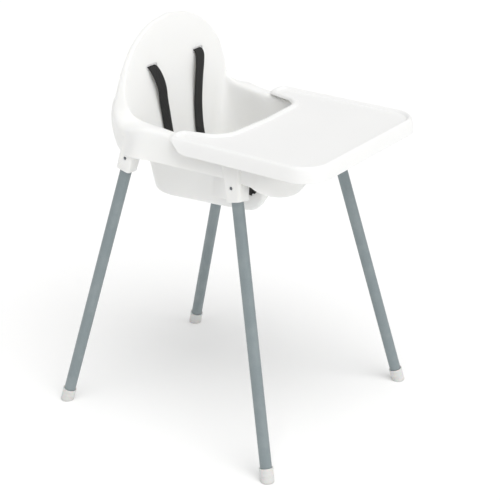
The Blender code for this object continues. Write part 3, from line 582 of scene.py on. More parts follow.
def turned(profile, steps=64, closed=True):
    """A profile in (radius, height), turned on Z like a piece in a lathe."""
    bm = bmesh.new()
    columns = []
    for i in range(steps):
        angle = 2 * math.pi * i / steps
        columns.append([bm.verts.new((radius * math.cos(angle), radius * math.sin(angle), height))
                        for radius, height in profile])
    count = len(profile)
    for i in range(steps):
        here, there = columns[i], columns[(i + 1) % steps]
        for j in range(count if closed else count - 1):
            k = (j + 1) % count
            bm.faces.new((here[j], there[j], there[k], here[k]))
    bmesh.ops.remove_doubles(bm, verts=bm.verts, dist=0.000001)
    bmesh.ops.dissolve_degenerate(bm, edges=bm.edges, dist=0.0000005)
    return to_mesh(bm, "turned")


print("a 20 mm rounded square has", len(rounded_outline((-0.01, -0.01), (0.01, 0.01), 0.003)), "points")

# %% [markdown]
# ## The seat shell
#
# On the real chair the seat is one plastic moulding 3 mm thick: a bowl whose wall turns outward
# into armrests and a tall rounded back, then down into a skirt that stiffens it. It could be
# sculpted from a block, but ribs are better here. Each rib says where the seat ends, where the
# brim is and how deep the skirt is, and a smooth surface through fourteen ribs is half of the
# shell. Corners in each rib are cut twice, which rounds them softly as a mould-maker would.

# %% Ribs of the shell
WALL = 0.003
RIBS = [
    # seat edge                 brim                      outward         flange skirt  belly
    ((0.000, -0.078, 0.5410), (0.000, -0.206, 0.6670), (0.00, -1.00), 0.026, 0.046, 0.38),
    ((0.080, -0.082, 0.5410), (0.090, -0.206, 0.6670), (0.00, -1.00), 0.026, 0.046, 0.40),
    ((0.124, -0.112, 0.5470), (0.150, -0.199, 0.6690), (0.84, -0.54), 0.045, 0.049, 0.64),
    ((0.135, -0.100, 0.5460), (0.162, -0.172, 0.6760), (1.00, -0.10), 0.033, 0.047, 0.60),
    ((0.138, -0.050, 0.5430), (0.163, -0.095, 0.6870), (1.00, 0.00), 0.033, 0.052, 0.45),
    ((0.141, 0.022, 0.5405), (0.163, 0.032, 0.6915), (1.00, 0.00), 0.034, 0.058, 0.36),
    ((0.146, 0.082, 0.5395), (0.164, 0.088, 0.6970), (1.00, 0.05), 0.036, 0.063, 0.30),
    ((0.138, 0.119, 0.5410), (0.168, 0.132, 0.7040), (0.93, 0.37), 0.045, 0.064, 0.20),
    ((0.118, 0.139, 0.5430), (0.178, 0.163, 0.7250), (0.62, 0.78), 0.044, 0.056, 0.16),
    ((0.088, 0.142, 0.5430), (0.182, 0.174, 0.7620), (0.28, 0.96), 0.024, 0.022, 0.26),
    ((0.060, 0.138, 0.5430), (0.164, 0.180, 0.8110), (0.08, 1.00), 0.016, 0.010, 0.34),
    ((0.042, 0.139, 0.5430), (0.125, 0.185, 0.8530), (0.00, 1.00), 0.015, 0.008, 0.36),
    ((0.020, 0.140, 0.5430), (0.068, 0.189, 0.8830), (0.00, 1.00), 0.015, 0.008, 0.36),
    ((0.000, 0.140, 0.5430), (0.000, 0.190, 0.8950), (0.00, 1.00), 0.015, 0.008, 0.36),
]
SEAT_CENTRE = Vector((0.0, 0.030, 0.539))
SEAT_SHARES = (0.25, 0.50, 0.75, 0.90)       # rings on the flat of the seat
WALL_STEPS = 9
STEPS_PER_RIB = 7
SKIRT_FLARE = 0.16
EDGE_SHARE = 0.30                            # share of the flange in its rounded edge


def rib_points(position):
    """Points of one rib, from the seat's centre to the edge of the skirt."""
    last = len(RIBS) - 1
    brims = [Vector(rib[1]) for rib in RIBS]
    seat_edge = spline([Vector(rib[0]) for rib in RIBS], position)
    brim = spline(brims, position)
    plan = spline([Vector((*rib[2], 0.0)) for rib in RIBS], position).normalized()
    flange, skirt, belly = (spline([rib[i] for rib in RIBS], position) for i in (3, 4, 5))
    if position in (0, last):
        along = Vector((1, 0, 0)) if position == 0 else Vector((-1, 0, 0))
    else:
        along = (spline(brims, min(position + 0.05, last)) - spline(brims, position - 0.05)).normalized()
    outward = (plan - along * plan.dot(along)).normalized()
    up = outward.cross(along).normalized()
    across = Vector((brim.x - seat_edge.x, brim.y - seat_edge.y, 0.0))
    rise = Vector((0.0, 0.0, brim.z - seat_edge.z))
    foot = seat_edge + across * belly * 0.7
    middle = seat_edge + across * belly + rise * 0.38
    points = [SEAT_CENTRE.lerp(seat_edge, share) for share in SEAT_SHARES]
    for i in range(WALL_STEPS + 1):
        s = i / WALL_STEPS
        r = 1.0 - s
        points.append(seat_edge * r ** 3 + foot * 3 * r * r * s + middle * 3 * r * s * s + brim * s ** 3)
    lift = up * min(flange, 0.02) * 0.16
    outer = brim + outward * flange * 1.02
    flare = outward * skirt * SKIRT_FLARE
    points += [brim + outward * flange * EDGE_SHARE + lift,
               brim + outward * flange * (1 - EDGE_SHARE * 0.6) + lift,
               outer - up * min(skirt * 0.3, 0.006),
               outer + flare * 0.5 - up * skirt * 0.55,
               outer + flare - up * skirt]
    return points


def cut_corners(points, rounds):
    """Round a line by cutting every corner at a quarter of its sides; the ends stay."""
    for _ in range(rounds):
        cut = [points[0]]
        for first, second in zip(points, points[1:]):
            cut += [first.lerp(second, 0.25), first.lerp(second, 0.75)]
        points = cut + [points[-1]]
    return points


print("a rib has", len(cut_corners(rib_points(3.5), 2)), "points")

# %% [markdown]
# The half shell is a sheet. A Mirror modifier makes the other half and a Solidify modifier gives
# the sheet its wall, on the hidden side, so that the visible side stays where it was drawn. A
# small Bevel rounds the skirt's lower edge.

# %% Shell sheet and wall
bm = bmesh.new()
centre_vert = bm.verts.new(SEAT_CENTRE)
columns = []
column_count = (len(RIBS) - 1) * STEPS_PER_RIB
for i in range(column_count + 1):
    line = cut_corners(rib_points(i / STEPS_PER_RIB), 2)
    if i in (0, column_count):
        line = [Vector((0.0, point.y, point.z)) for point in line]
    columns.append([bm.verts.new(point) for point in line])
for left, right in zip(columns, columns[1:]):
    bm.faces.new((centre_vert, left[0], right[0]))
    for row in range(len(left) - 1):
        bm.faces.new((left[row], left[row + 1], right[row + 1], right[row]))
seat = new_piece("moulded_seat", to_mesh(bm, "seat"), moulded_seat)
mirror = seat.modifiers.new("other half", "MIRROR")
mirror.use_clip = True
mirror.merge_threshold = 0.00001
add_wall(seat, WALL, 0.0008)
settle(seat)
shell_surface = BVHTree.FromPolygons([vert.co for vert in seat.data.vertices],
                                     [poly.vertices for poly in seat.data.polygons])
print("shell before its sockets:", len(seat.data.polygons), "faces")

# %% [markdown]
# ## Leg sockets
#
# Each leg pushes 58 mm into a square socket that is part of the same moulding. The socket is
# narrow at its mouth and flares under the flange, where it carries the load. It is drawn as a
# stack of rounded squares along the leg, the upper ones growing in a curve, so it runs into the
# flange with a fillet rather than a corner. A hole on its outer face takes the snap button. A
# thin web runs from each front socket back to the bowl.

# %% Lines of the legs
CLEARANCE = 0.0004                           # gap round parts that fit inside each other
LEG_RADIUS = 0.013
LEG_WALL = 0.0013
LEG_INSERTION = 0.058
SIDES = {"right": -1.0, "left": 1.0}
LEG_LINES = {                                # centre of the foot, then the socket's mouth
    "rear": (Vector((0.2536, 0.3177, 0.0)), Vector((0.1972, 0.1643, 0.5956))),
    "front": (Vector((0.2826, -0.2731, 0.0)), Vector((0.1955, -0.1314, 0.5873))),
}
BUTTON_ABOVE_MOUTH = 0.030
BUTTON_HOLE_RADIUS = 0.0035
BUTTON_HOLE_LEAD = 0.0043                    # its radius at the outer face
LEG_PLACES = [(end, side_name, side) for end in LEG_LINES for side_name, side in SIDES.items()]


def leg_frame(end, side):
    """Matrix with its origin on the floor, Z up the leg and X outward from the chair."""
    foot, mouth = (mirrored(point, side) for point in LEG_LINES[end])
    return frame_along(mouth - foot, foot, Vector((side, 0, 0)))


def mouth_distance(end):
    foot, mouth = LEG_LINES[end]
    return (mouth - foot).length


def button_frame(end, side):
    """Matrix of a snap button: origin on the leg's line, Z outward through the socket."""
    leg = leg_frame(end, side)
    origin = leg @ Vector((0, 0, mouth_distance(end) + BUTTON_ABOVE_MOUTH))
    return frame_along(leg.col[0].to_3d(), origin, leg.col[2].to_3d())


for end in LEG_LINES:
    print(end, "leg is", round(mouth_distance(end) + LEG_INSERTION, 3), "m long")

# %% Sockets
SOCKET_HALF = {"rear": LEG_RADIUS + 0.0045, "front": LEG_RADIUS + 0.0055}
SOCKET_TOP_Z = {"rear": 0.685, "front": 0.682}
# how far the top of a socket reaches beyond its mouth, toward the front, the back and the seat
FRONT_FLARE = {"rear": 0.004, "front": 0.012}
REAR_FLARE = 0.004
INNER_FLARE = {"rear": 0.0, "front": 0.010}


def socket_mesh(end, side):
    matrix = leg_frame(end, side)
    low = mouth_distance(end)
    high = low + (SOCKET_TOP_Z[end] - LEG_LINES[end][1].z) / matrix.col[2].z
    front = -math.copysign(1.0, matrix.col[1].y)     # which way along Y is towards the tray
    half = SOCKET_HALF[end]
    rings = []
    for share, gap in ((0.0, 0.0014), (0.004, 0.0005), (0.012, 0.0), (0.25, 0.0), (0.45, 0.0),
                       (0.6, 0.0), (0.72, 0.0), (0.82, 0.0), (0.9, 0.0), (1.0, 0.0)):
        fillet = 0.008 * share ** 6
        to_front = half + FRONT_FLARE[end] * share + fillet - gap
        to_rear = half + REAR_FLARE * share - gap
        reach = sorted((front * to_front, -front * to_rear))
        outline = rounded_outline((-half - INNER_FLARE[end] * share + gap, reach[0]),
                                  (half - gap, reach[1]), 0.007 - gap, 5)
        rings.append([(x, y, low + (high - low) * share) for x, y in outline])
    bm = bmesh.new()
    skin_rings(bm, rings)
    mesh = to_mesh(bm, "socket")
    mesh.transform(matrix)
    return mesh


def bore_mesh(end, side):
    """The round bore for the leg, with a lead-in at its mouth."""
    bore = LEG_RADIUS + CLEARANCE
    mouth = mouth_distance(end)
    mesh = turned([(0.0, mouth - 0.002), (bore + 0.0030, mouth - 0.002), (bore + 0.0010, mouth),
                   (bore, mouth + 0.0012), (bore, mouth + LEG_INSERTION + 0.001),
                   (0.0, mouth + LEG_INSERTION + 0.001)], closed=False)
    mesh.transform(leg_frame(end, side))
    return mesh


def button_hole_mesh(end, side):
    low = LEG_RADIUS - 0.002
    face = SOCKET_HALF[end]
    mesh = turned([(0.0, low), (BUTTON_HOLE_RADIUS, low), (BUTTON_HOLE_RADIUS, face - 0.0006),
                   (BUTTON_HOLE_LEAD, face + 0.0002), (BUTTON_HOLE_LEAD, face + 0.010),
                   (0.0, face + 0.010)], 32, closed=False)
    mesh.transform(button_frame(end, side))
    return mesh


WEB_RIB = 4.35                               # where the web meets the bowl, among the ribs
WEB_THICKNESS = 0.003
WEB_INSET = 0.0045                           # depth of its outer end inside the socket's corner
WEB_AT_SOCKET_Z = (0.5920, 0.6740)           # lower and upper edge at the socket
WEB_AT_BOWL_Z = (0.5620, 0.6840)


def wall_point(rib, z):
    """Where a rib's wall crosses a height, halfway through the wall."""
    for lower, upper in zip(rib, rib[1:]):
        if lower.z <= z <= upper.z:
            point = lower.lerp(upper, (z - lower.z) / (upper.z - lower.z))
            return point + Vector((WALL / 2, 0, 0))
    return rib[-1]


def web_mesh(side):
    """Thin web from a front socket's outer rear corner back to the bowl, slightly hollowed."""
    matrix = leg_frame("front", 1.0)
    reach = SOCKET_HALF["front"] - WEB_INSET
    wall = rib_points(WEB_RIB)[len(SEAT_SHARES):len(SEAT_SHARES) + WALL_STEPS + 1]
    rings = []
    for i in range(13):
        share = i / 12
        z = WEB_AT_SOCKET_Z[0] + (WEB_AT_SOCKET_Z[1] - WEB_AT_SOCKET_Z[0]) * share
        socket_end = matrix @ Vector((reach, reach, 0.0))
        socket_end += matrix.col[2].to_3d() * (z - socket_end.z) / matrix.col[2].z
        bowl_end = wall_point(wall, WEB_AT_BOWL_Z[0] + (WEB_AT_BOWL_Z[1] - WEB_AT_BOWL_Z[0]) * share)
        along = bowl_end - socket_end
        across = Vector((along.y, -along.x, 0.0)).normalized() * WEB_THICKNESS / 2
        outer = [socket_end.lerp(bowl_end, step / 8) - across * 0.8 * math.sin(math.pi * step / 8)
                 for step in range(9)]
        rings.append([mirrored(p + across, side) for p in outer]
                     + [mirrored(p - across, side) for p in reversed(outer)])
    bm = bmesh.new()
    skin_rings(bm, rings)
    return to_mesh(bm, "web")


for end, _, side in LEG_PLACES:
    shape_with(seat, socket_mesh(end, side), "UNION")
for side in SIDES.values():
    shape_with(seat, web_mesh(side), "UNION")
for end, _, side in LEG_PLACES:
    shape_with(seat, bore_mesh(end, side))
    shape_with(seat, button_hole_mesh(end, side))
settle(seat)
print("shell with its sockets:", len(seat.data.polygons), "faces")

# %% [markdown]
# ## Openings in the seat
#
# Two rounded openings let the child's legs through the sloping front. Slots take the harness:
# two high in the back, one in the seat and a small window beside each front socket. Mouldings
# have no sharp holes, so every opening but the two small windows gets a rounded lip, laid along
# its edge on the surface.

# %% Openings and their lips
OPENING_X = (0.021, 0.128)
OPENING_REAR = Vector((0.0, -0.083, 0.541))
OPENING_FRONT = Vector((0.0, -0.192, 0.641))
SHOULDER_SLOT = Vector((0.084, 0.180, 0.797))
SHOULDER_SLOT_SIZE = (0.035, 0.0085)
CROTCH_SLOT = Vector((0.0, -0.064, 0.541))
CROTCH_SLOT_SIZE = (0.025, 0.0085)
WAIST_WINDOW = Vector((0.1530, -0.1340, 0.6000))
WAIST_WINDOW_SIZE = (0.011, 0.026)
LIP_RADIUS = 0.0018


def opening(matrix, size, radius, depth):
    """Cutter for a rounded opening in the chair's coordinates, and its outline in the cutter's own plane."""
    outline = rounded_outline((-size[0] / 2, -size[1] / 2), (size[0] / 2, size[1] / 2), radius)
    bm = bmesh.new()
    skin_rings(bm, [[(x, y, z) for x, y in outline] for z in (-depth, depth)])
    mesh = to_mesh(bm, "opening")
    mesh.transform(matrix)
    return mesh, outline


def lip_mesh(matrix, outline, start, radius):
    """A round bead along an opening's edge, found by rays cast along the cutter's Z."""
    inward = matrix.to_3x3() @ Vector((0, 0, 1))
    dense = []
    for first, second in zip(outline, outline[1:] + outline[:1]):
        steps = max(1, int((second - first).length / 0.004))
        dense += [first.lerp(second, i / steps) for i in range(steps)]
    path = []
    for x, y in dense:
        origin = matrix @ Vector((x, y, start))
        hit = shell_surface.ray_cast(origin, inward)[0]
        if hit is not None:
            path.append(hit + inward * WALL / 2)
    rings = []
    for i, point in enumerate(path):
        along = (path[(i + 1) % len(path)] - path[i - 1]).normalized()
        sideways = along.cross(inward).normalized()
        through = sideways.cross(along).normalized()
        rings.append([point + (sideways * math.cos(angle) + through * math.sin(angle)) * radius
                      for angle in (2 * math.pi * j / 10 for j in range(10))])
    bm = bmesh.new()
    skin_rings(bm, rings, capped=False)
    return to_mesh(bm, "lip")


lips = []
slope = OPENING_FRONT - OPENING_REAR
for side in SIDES.values():
    middle = (OPENING_REAR + OPENING_FRONT) / 2
    middle.x = side * sum(OPENING_X) / 2
    matrix = frame_along(Vector((0, -slope.z, slope.y)), middle)
    cutter, outline = opening(matrix, (OPENING_X[1] - OPENING_X[0], slope.length), 0.024, 0.055)
    shape_with(seat, cutter)
    lips.append(lip_mesh(matrix, outline, -0.05, 0.0022))

    matrix = frame_along(Vector((0, 1, 0)), mirrored(SHOULDER_SLOT, side))
    cutter, outline = opening(matrix, SHOULDER_SLOT_SIZE, 0.0030, 0.020)
    shape_with(seat, cutter)
    lips.append(lip_mesh(matrix, outline, -0.02, LIP_RADIUS))

    matrix = frame_along(Vector((side, 0, 0)), mirrored(WAIST_WINDOW, side), Vector((0, 1, 0)))
    cutter, outline = opening(matrix, WAIST_WINDOW_SIZE, 0.0025, 0.013)
    shape_with(seat, cutter)

matrix = frame_along(Vector((0, 0, -1)), CROTCH_SLOT)
cutter, outline = opening(matrix, CROTCH_SLOT_SIZE, 0.0030, 0.015)
shape_with(seat, cutter)
lips.append(lip_mesh(matrix, outline, -0.02, LIP_RADIUS))
settle(seat)
print("shell with its openings:", len(seat.data.polygons), "faces,", len(lips), "lips")

# %% Join the lips and hand the seat over
bm = bmesh.new()
bm.from_mesh(seat.data)
for mesh in lips:
    bm.from_mesh(mesh)
bm.to_mesh(seat.data)
bm.free()
settle(seat)
stand_in(seat, "seat_shell")

# %% [markdown]
# ## The tray
#
# The tray is a shallow moulded lid, U-shaped at the back to fit round the child. It has a deep
# skirt outside, a low lip where it crosses the armrests, a rounded rim and a sunken floor. Its
# outline is drawn with rounded corners, and the section of the rim is swept round it by moving
# the outline inward ring by ring. Solidify gives it a wall 2.8 mm thick.

# %% Outline of the tray
TRAY_CORNERS = [                             # right half from the front, with corner radii
    ((0.2270, -0.3360), 0.062),
    ((0.2235, 0.0380), 0.024),
    ((0.1640, 0.0380), 0.024),
    ((0.1440, -0.0560), 0.052),
]
TRAY_FRONT_Y = -0.3360
CUTOUT_Y = -0.0640


def rounded_corner(before, corner, after, radius, steps):
    to_before = (before - corner).normalized()
    to_after = (after - corner).normalized()
    half_angle = to_before.angle(to_after) / 2
    reach = radius / math.tan(half_angle)
    start = corner + to_before * reach
    finish_at = corner + to_after * reach
    centre = corner + (to_before + to_after).normalized() * radius / math.sin(half_angle)
    first = start - centre
    sweep = first.angle(finish_at - centre)
    turn = 1.0 if first.x * (finish_at - centre).y - first.y * (finish_at - centre).x > 0 else -1.0
    arc = []
    for i in range(steps + 1):
        angle = turn * sweep * i / steps
        arc.append(centre + Vector((first.x * math.cos(angle) - first.y * math.sin(angle),
                                    first.x * math.sin(angle) + first.y * math.cos(angle))))
    return arc


def spaced(points, longest):
    """Split the long sides of a closed outline."""
    dense = []
    for first, second in zip(points, points[1:] + points[:1]):
        steps = max(1, math.ceil((second - first).length / longest))
        dense += [first.lerp(second, i / steps) for i in range(steps)]
    return dense


corners = [Vector(corner) for corner, _ in TRAY_CORNERS]
chain = [Vector((0.0, TRAY_FRONT_Y))] + corners + [Vector((0.0, CUTOUT_Y))]
half = [chain[0], Vector((0.085, TRAY_FRONT_Y))]
for i, (_, radius) in enumerate(TRAY_CORNERS):
    half += rounded_corner(chain[i], chain[i + 1], chain[i + 2], radius, 14)
half += [Vector((0.045, (CUTOUT_Y * 2 + TRAY_CORNERS[-1][0][1]) / 3)), chain[-1]]
tray_outline = spaced(half + [Vector((-p.x, p.y)) for p in reversed(half[1:-1])], 0.012)
print("tray outline has", len(tray_outline), "points")

# %% Rim, skirt and floor of the tray
TRAY_SKIRT_Z = 0.672
TRAY_LIP_Z = 0.6975
TRAY_RIM_Z = 0.705
TRAY_FLOOR_Z = 0.7000
TRAY_WALL = 0.0028
RIM_SECTION = [                              # inset, share of the way up, or height inside
    (0.0000, 0.00), (0.0020, 0.55), (0.0046, 0.88), (0.0082, 1.00), (0.0118, 1.00)]
BASIN_SECTION = [(0.0150, 0.7025), (0.0175, TRAY_FLOOR_Z), (0.0205, 0.6999)]


def moved_in(outline, distance):
    moved = []
    for i, point in enumerate(outline):
        first = (point - outline[i - 1]).normalized()
        second = (outline[(i + 1) % len(outline)] - point).normalized()
        normal = Vector((-(first + second).y, (first + second).x)).normalized()
        moved.append(point + normal * distance / max(0.5, normal.dot(Vector((-first.y, first.x)))))
    return moved


def ease(low, high, value):
    share = min(1.0, max(0.0, (value - low) / (high - low)))
    return share * share * (3 - 2 * share)


def lower_edge(point):
    """Height of the tray's lower edge: skirt outside and in front, lip over the armrests."""
    outside = ease(0.185, 0.212, abs(point.x)) * (1 - ease(-0.006, 0.026, point.y))
    skirted = max(outside, 1 - ease(-0.25, -0.20, point.y))
    return TRAY_LIP_Z + (TRAY_SKIRT_Z - TRAY_LIP_Z) * skirted


sections = []
for i, point in enumerate(tray_outline):
    low = lower_edge(point)
    section = [(inset, low + (TRAY_RIM_Z - low) * share) for inset, share in RIM_SECTION]
    sections.append(cut_corners([Vector(pair) for pair in section + BASIN_SECTION], 2))
rings = []
for row in range(len(sections[0])):
    inner = moved_in(tray_outline, sections[0][row].x)
    rings.append([(point.x, point.y, sections[i][row].y) for i, point in enumerate(inner)])
bm = bmesh.new()
loops = [[bm.verts.new(point) for point in ring] for ring in rings]
for lower, upper in zip(loops, loops[1:]):
    for i in range(len(lower)):
        k = (i + 1) % len(lower)
        bm.faces.new((lower[i], lower[k], upper[k], upper[i]))
bm.faces.new(loops[-1])
tray = new_piece("moulded_tray", to_mesh(bm, "tray"), moulded_tray)
add_wall(tray, TRAY_WALL, 0.0007)
settle(tray)
stand_in(tray, "tray")
print("tray:", len(tray.data.polygons), "faces")

# %% [markdown]
# ## Legs and foot caps
#
# A leg is a straight tube 26 mm across, open at the top, with a hole for its button. A lathe is
# the natural way to draw it: a short profile turned round an axis, as for the foot cap. The cap
# has a collar at its top, two grip grooves and a rounded lower edge, and is cut level with the
# floor because the leg leans.

# %% Legs
CAP_RADIUS = 0.0158
CAP_HEIGHT = 0.031
CAP_FLOOR = 0.010
CAP_OVERRUN = 0.003
CAP_CORNER = 0.0028
GROOVE_DEPTH = 0.0006
LEG_CHAMFER = 0.0004
LEG_END_ROW = 0.0005                         # height of a leg's chamfered end
LEG_HOLE_RADIUS = 0.0032
LEG_HOLE_REACH = 0.006                       # how far its cutter goes either side of the surface


def leg_mesh(end):
    high = mouth_distance(end) + LEG_INSERTION
    low = CAP_FLOOR + CLEARANCE
    inner = LEG_RADIUS - LEG_WALL
    rows = [low + LEG_END_ROW + (high - low - 2 * LEG_END_ROW) * i / 24 for i in range(25)]
    return turned([(LEG_RADIUS - LEG_CHAMFER, high)] + [(LEG_RADIUS, row) for row in reversed(rows)]
                  + [(LEG_RADIUS - LEG_CHAMFER, low), (inner, low), (inner, high)])


for end, side_name, side in LEG_PLACES:
    leg = new_piece(f"steel_leg_{end}_{side_name}", leg_mesh(end), leg_coat)
    leg.matrix_world = leg_frame(end, side)
    inside, outside = LEG_RADIUS - LEG_HOLE_REACH, LEG_RADIUS + LEG_HOLE_REACH
    hole = turned([(0.0, inside), (LEG_HOLE_RADIUS, inside), (LEG_HOLE_RADIUS, outside),
                   (0.0, outside)], 32, closed=False)
    shape_with(leg, hole, matrix=button_frame(end, side))
    settle(leg)
    stand_in(leg, f"leg_{end}_{side_name}")
print("legs made")

# %% Foot caps


def cap_mesh():
    bore = LEG_RADIUS + CLEARANCE
    body = CAP_RADIUS - 0.0006
    low = -CAP_OVERRUN
    profile = [(bore, CAP_HEIGHT - 0.0004), (bore + 0.0004, CAP_HEIGHT), (body, CAP_HEIGHT),
               (CAP_RADIUS, CAP_HEIGHT - 0.0012), (CAP_RADIUS, CAP_HEIGHT - 0.0045),
               (body, CAP_HEIGHT - 0.0058)]
    for groove in (0.0135, 0.0100):
        profile += [(body, groove + 0.0009), (body - GROOVE_DEPTH, groove + 0.0005),
                    (body - GROOVE_DEPTH, groove - 0.0005), (body, groove - 0.0009)]
    for i in range(7):
        angle = math.pi / 2 * i / 6
        profile.append((body - CAP_CORNER * (1 - math.cos(angle)),
                        low + CAP_CORNER * (1 - math.sin(angle))))
    return turned(profile + [(0.0, low), (0.0, CAP_FLOOR), (bore, CAP_FLOOR)])


def floor_cutter():
    bm = bmesh.new()
    bmesh.ops.create_cube(bm, size=1.0)
    bmesh.ops.translate(bm, vec=(0, 0, -0.5), verts=bm.verts)
    return to_mesh(bm, "below_floor")


for end, side_name, side in LEG_PLACES:
    cap = new_piece(f"moulded_foot_{end}_{side_name}", cap_mesh(), foot_plastic)
    cap.matrix_world = leg_frame(end, side)
    shape_with(cap, floor_cutter())
    settle(cap, 50.0)
    stand_in(cap, f"foot_cap_{end}_{side_name}")
print("caps made, lowest point", round(min(vert.co.z for vert in cap.data.vertices), 5))

# %% [markdown]
# ## Snap buttons and their springs
#
# A domed pin shows as a small dark dot on each socket. Behind it, inside the tube, a V-shaped
# leaf spring pushes it out. The spring is set in place and is not tied to either body.

# %% Snap buttons
BUTTON_RADIUS = 0.0029
DOME_HEIGHT = 0.0012


def button_mesh(end):
    inner = LEG_RADIUS - LEG_WALL - CLEARANCE
    tip = SOCKET_HALF[end] + DOME_HEIGHT
    dome = [(BUTTON_RADIUS * math.cos(math.radians(a)),
             tip - DOME_HEIGHT + DOME_HEIGHT * math.sin(math.radians(a))) for a in range(80, -1, -10)]
    foot = BUTTON_RADIUS + 0.0014
    return turned([(0.0, tip)] + dome + [(BUTTON_RADIUS, inner - 0.0012), (foot - 0.0003, inner - 0.0012),
                                         (foot, inner - 0.0015), (foot, inner - 0.0024),
                                         (0.0, inner - 0.0024)], 32, closed=False)


for end, side_name, side in LEG_PLACES:
    # each pin's dark grey is partly painted shade, carried by its steel
    pin = new_piece(f"snap_pin_{end}_{side_name}", button_mesh(end), shade_painted_steel)
    pin.matrix_world = button_frame(end, side)
    settle(pin)
    stand_in(pin, f"snap_button_{end}_{side_name}")
print("pins made")

# %% [markdown]
# ## Flat strips
#
# Springs and straps are both flat strips along a path: one helper lays a thin rounded section
# along the path and writes the distance across and along the strip, in metres, as coordinates
# for the weave.

# %% Strip helper


def strip_section(width, thickness, edge_steps=3):
    """Points (across, up) of a flat section with round edges, in order."""
    reach = (width - thickness) / 2
    half = thickness / 2
    arc = [math.pi / 2 - math.pi * i / edge_steps for i in range(edge_steps + 1)]
    section = [(reach * share, half) for share in (-0.5, 0.0, 0.5)]
    section += [(reach + half * math.cos(angle), half * math.sin(angle)) for angle in arc]
    section += [(reach * share, -half) for share in (0.5, 0.0, -0.5)]
    section += [(-reach - half * math.cos(angle), -half * math.sin(angle)) for angle in arc]
    return section


def strip_mesh(path, widths, thickness, face_normals):
    """A strip along a path, and its length. Its coordinates are metres across and along."""
    bm = bmesh.new()
    flat = bm.loops.layers.uv.new("weave")
    rings = []
    travelled = 0.0
    for i, point in enumerate(path):
        if i:
            travelled += (point - path[i - 1]).length
        tangent = (path[min(i + 1, len(path) - 1)] - path[max(i - 1, 0)]).normalized()
        normal = (face_normals[i] - tangent * face_normals[i].dot(tangent)).normalized()
        across = tangent.cross(normal).normalized()
        rings.append([(bm.verts.new(point + across * shift + normal * up), (shift, travelled))
                      for shift, up in strip_section(widths[i], thickness)])
    count = len(rings[0])
    faces = [rings[0], rings[-1]]
    for lower, upper in zip(rings, rings[1:]):
        faces += [(lower[j], lower[(j + 1) % count], upper[(j + 1) % count], upper[j])
                  for j in range(count)]
    for corners in faces:
        face = bm.faces.new([vert for vert, _ in corners])
        for loop, (_, place_on_strip) in zip(face.loops, corners):
            loop[flat].uv = place_on_strip
    return to_mesh(bm, "strip"), travelled


# %% Leaf springs
SPRING_WIDTH = 0.008
SPRING_THICKNESS = 0.0007


def spring_mesh():
    """V-shaped strip: one arm under the pin, the other against the far wall of the tube."""
    inner = LEG_RADIUS - LEG_WALL
    under_pin = inner - 0.0032 - SPRING_THICKNESS / 2
    far_wall = -(math.sqrt(inner ** 2 - (SPRING_WIDTH / 2) ** 2) - CLEARANCE - SPRING_THICKNESS / 2)
    path = smooth_path([(under_pin, 0, 0.007), (under_pin, 0, -0.006), (under_pin * 0.72, 0, -0.022),
                        (0.002, 0, -0.036), (-0.0025, 0, -0.0375), (-0.006, 0, -0.033),
                        (far_wall, 0, -0.012), (far_wall, 0, -0.002)], 6)
    normals = [(path[min(i + 1, len(path) - 1)] - path[max(i - 1, 0)]).cross(Vector((0, 1, 0)))
               for i in range(len(path))]
    return strip_mesh(path, [SPRING_WIDTH] * len(path), SPRING_THICKNESS, normals)[0], under_pin


for end, side_name, side in LEG_PLACES:
    mesh, under_pin = spring_mesh()
    spring = new_piece(f"leaf_spring_{end}_{side_name}", mesh, shade_painted_steel)
    along = mouth_distance(end) + BUTTON_ABOVE_MOUTH
    where = leg_frame(end, side) @ Matrix.Translation(Vector((0, 0, along)))
    spring.matrix_world = where
    settle(spring)
    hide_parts(f"button_spring_{end}_{side_name}")
    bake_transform(spring)
print("springs made")

# %% [markdown]
# ## Harness straps
#
# Two shoulder straps come through the back and run down to the buckle. They are set by sliders.
# Two waist straps come from the side windows, where the folded end of the webbing shows as a
# small black triangle outside. A short crotch strap holds the buckle. Webbing this short and
# stiff keeps its shape, so each strap is laid straight along its route. The shoulder and waist
# straps are set in place and are not tied to any body.

# %% Strap routes
SHOULDER_WIDTH = 0.030
STRAP_WIDTH = 0.020                          # waist and crotch straps
STRAP_THICKNESS = 0.0014
STRAP_CLEARANCE = 0.0005                     # between a strap's end and its stop
SHOULDER_ROUTE = [(0.0840, 0.1905, 0.7970), (0.0840, 0.1775, 0.7970), (0.0824, 0.1698, 0.7885),
                  (0.0752, 0.1640, 0.7690), (0.0685, 0.1612, 0.7450), (0.0645, 0.1605, 0.7150),
                  (0.0600, 0.1585, 0.6850), (0.0572, 0.1555, 0.6550), (0.0550, 0.1510, 0.6250),
                  (0.0538, 0.1440, 0.5980), (0.0533, 0.1320, 0.5750), (0.0530, 0.1130, 0.5560),
                  (0.0530, 0.0880, 0.5462), (0.0530, 0.0680, 0.5450), (0.0530, 0.0515, 0.5450),
                  (0.0530, 0.0350, 0.5450), (0.0530, 0.0230, 0.5470), (0.0530, 0.0115, 0.5490)]
WAIST_ROUTE = [(0.0530, -0.0350, 0.5490), (0.0535, -0.0440, 0.5482), (0.0640, -0.0590, 0.5505),
               (0.0890, -0.0720, 0.5570), (0.1180, -0.0920, 0.5640), (0.1340, -0.1160, 0.5840),
               (0.1420, -0.1290, 0.5970), (0.1490, -0.1330, 0.6000), (0.1560, -0.1345, 0.6000),
               (0.1605, -0.1405, 0.6040), (0.1645, -0.1490, 0.6120), (0.1665, -0.1620, 0.6165),
               (0.1668, -0.1740, 0.6200)]
CROTCH_ROUTE = [(0.0, -0.0346, 0.5480), (0.0, -0.0480, 0.5480), (0.0, -0.0600, 0.5465),
                (0.0, -0.0640, 0.5400), (0.0, -0.0640, 0.5330)]
WAIST_FOLD = (0.77, 0.83)                    # shares of its length where the folded end widens
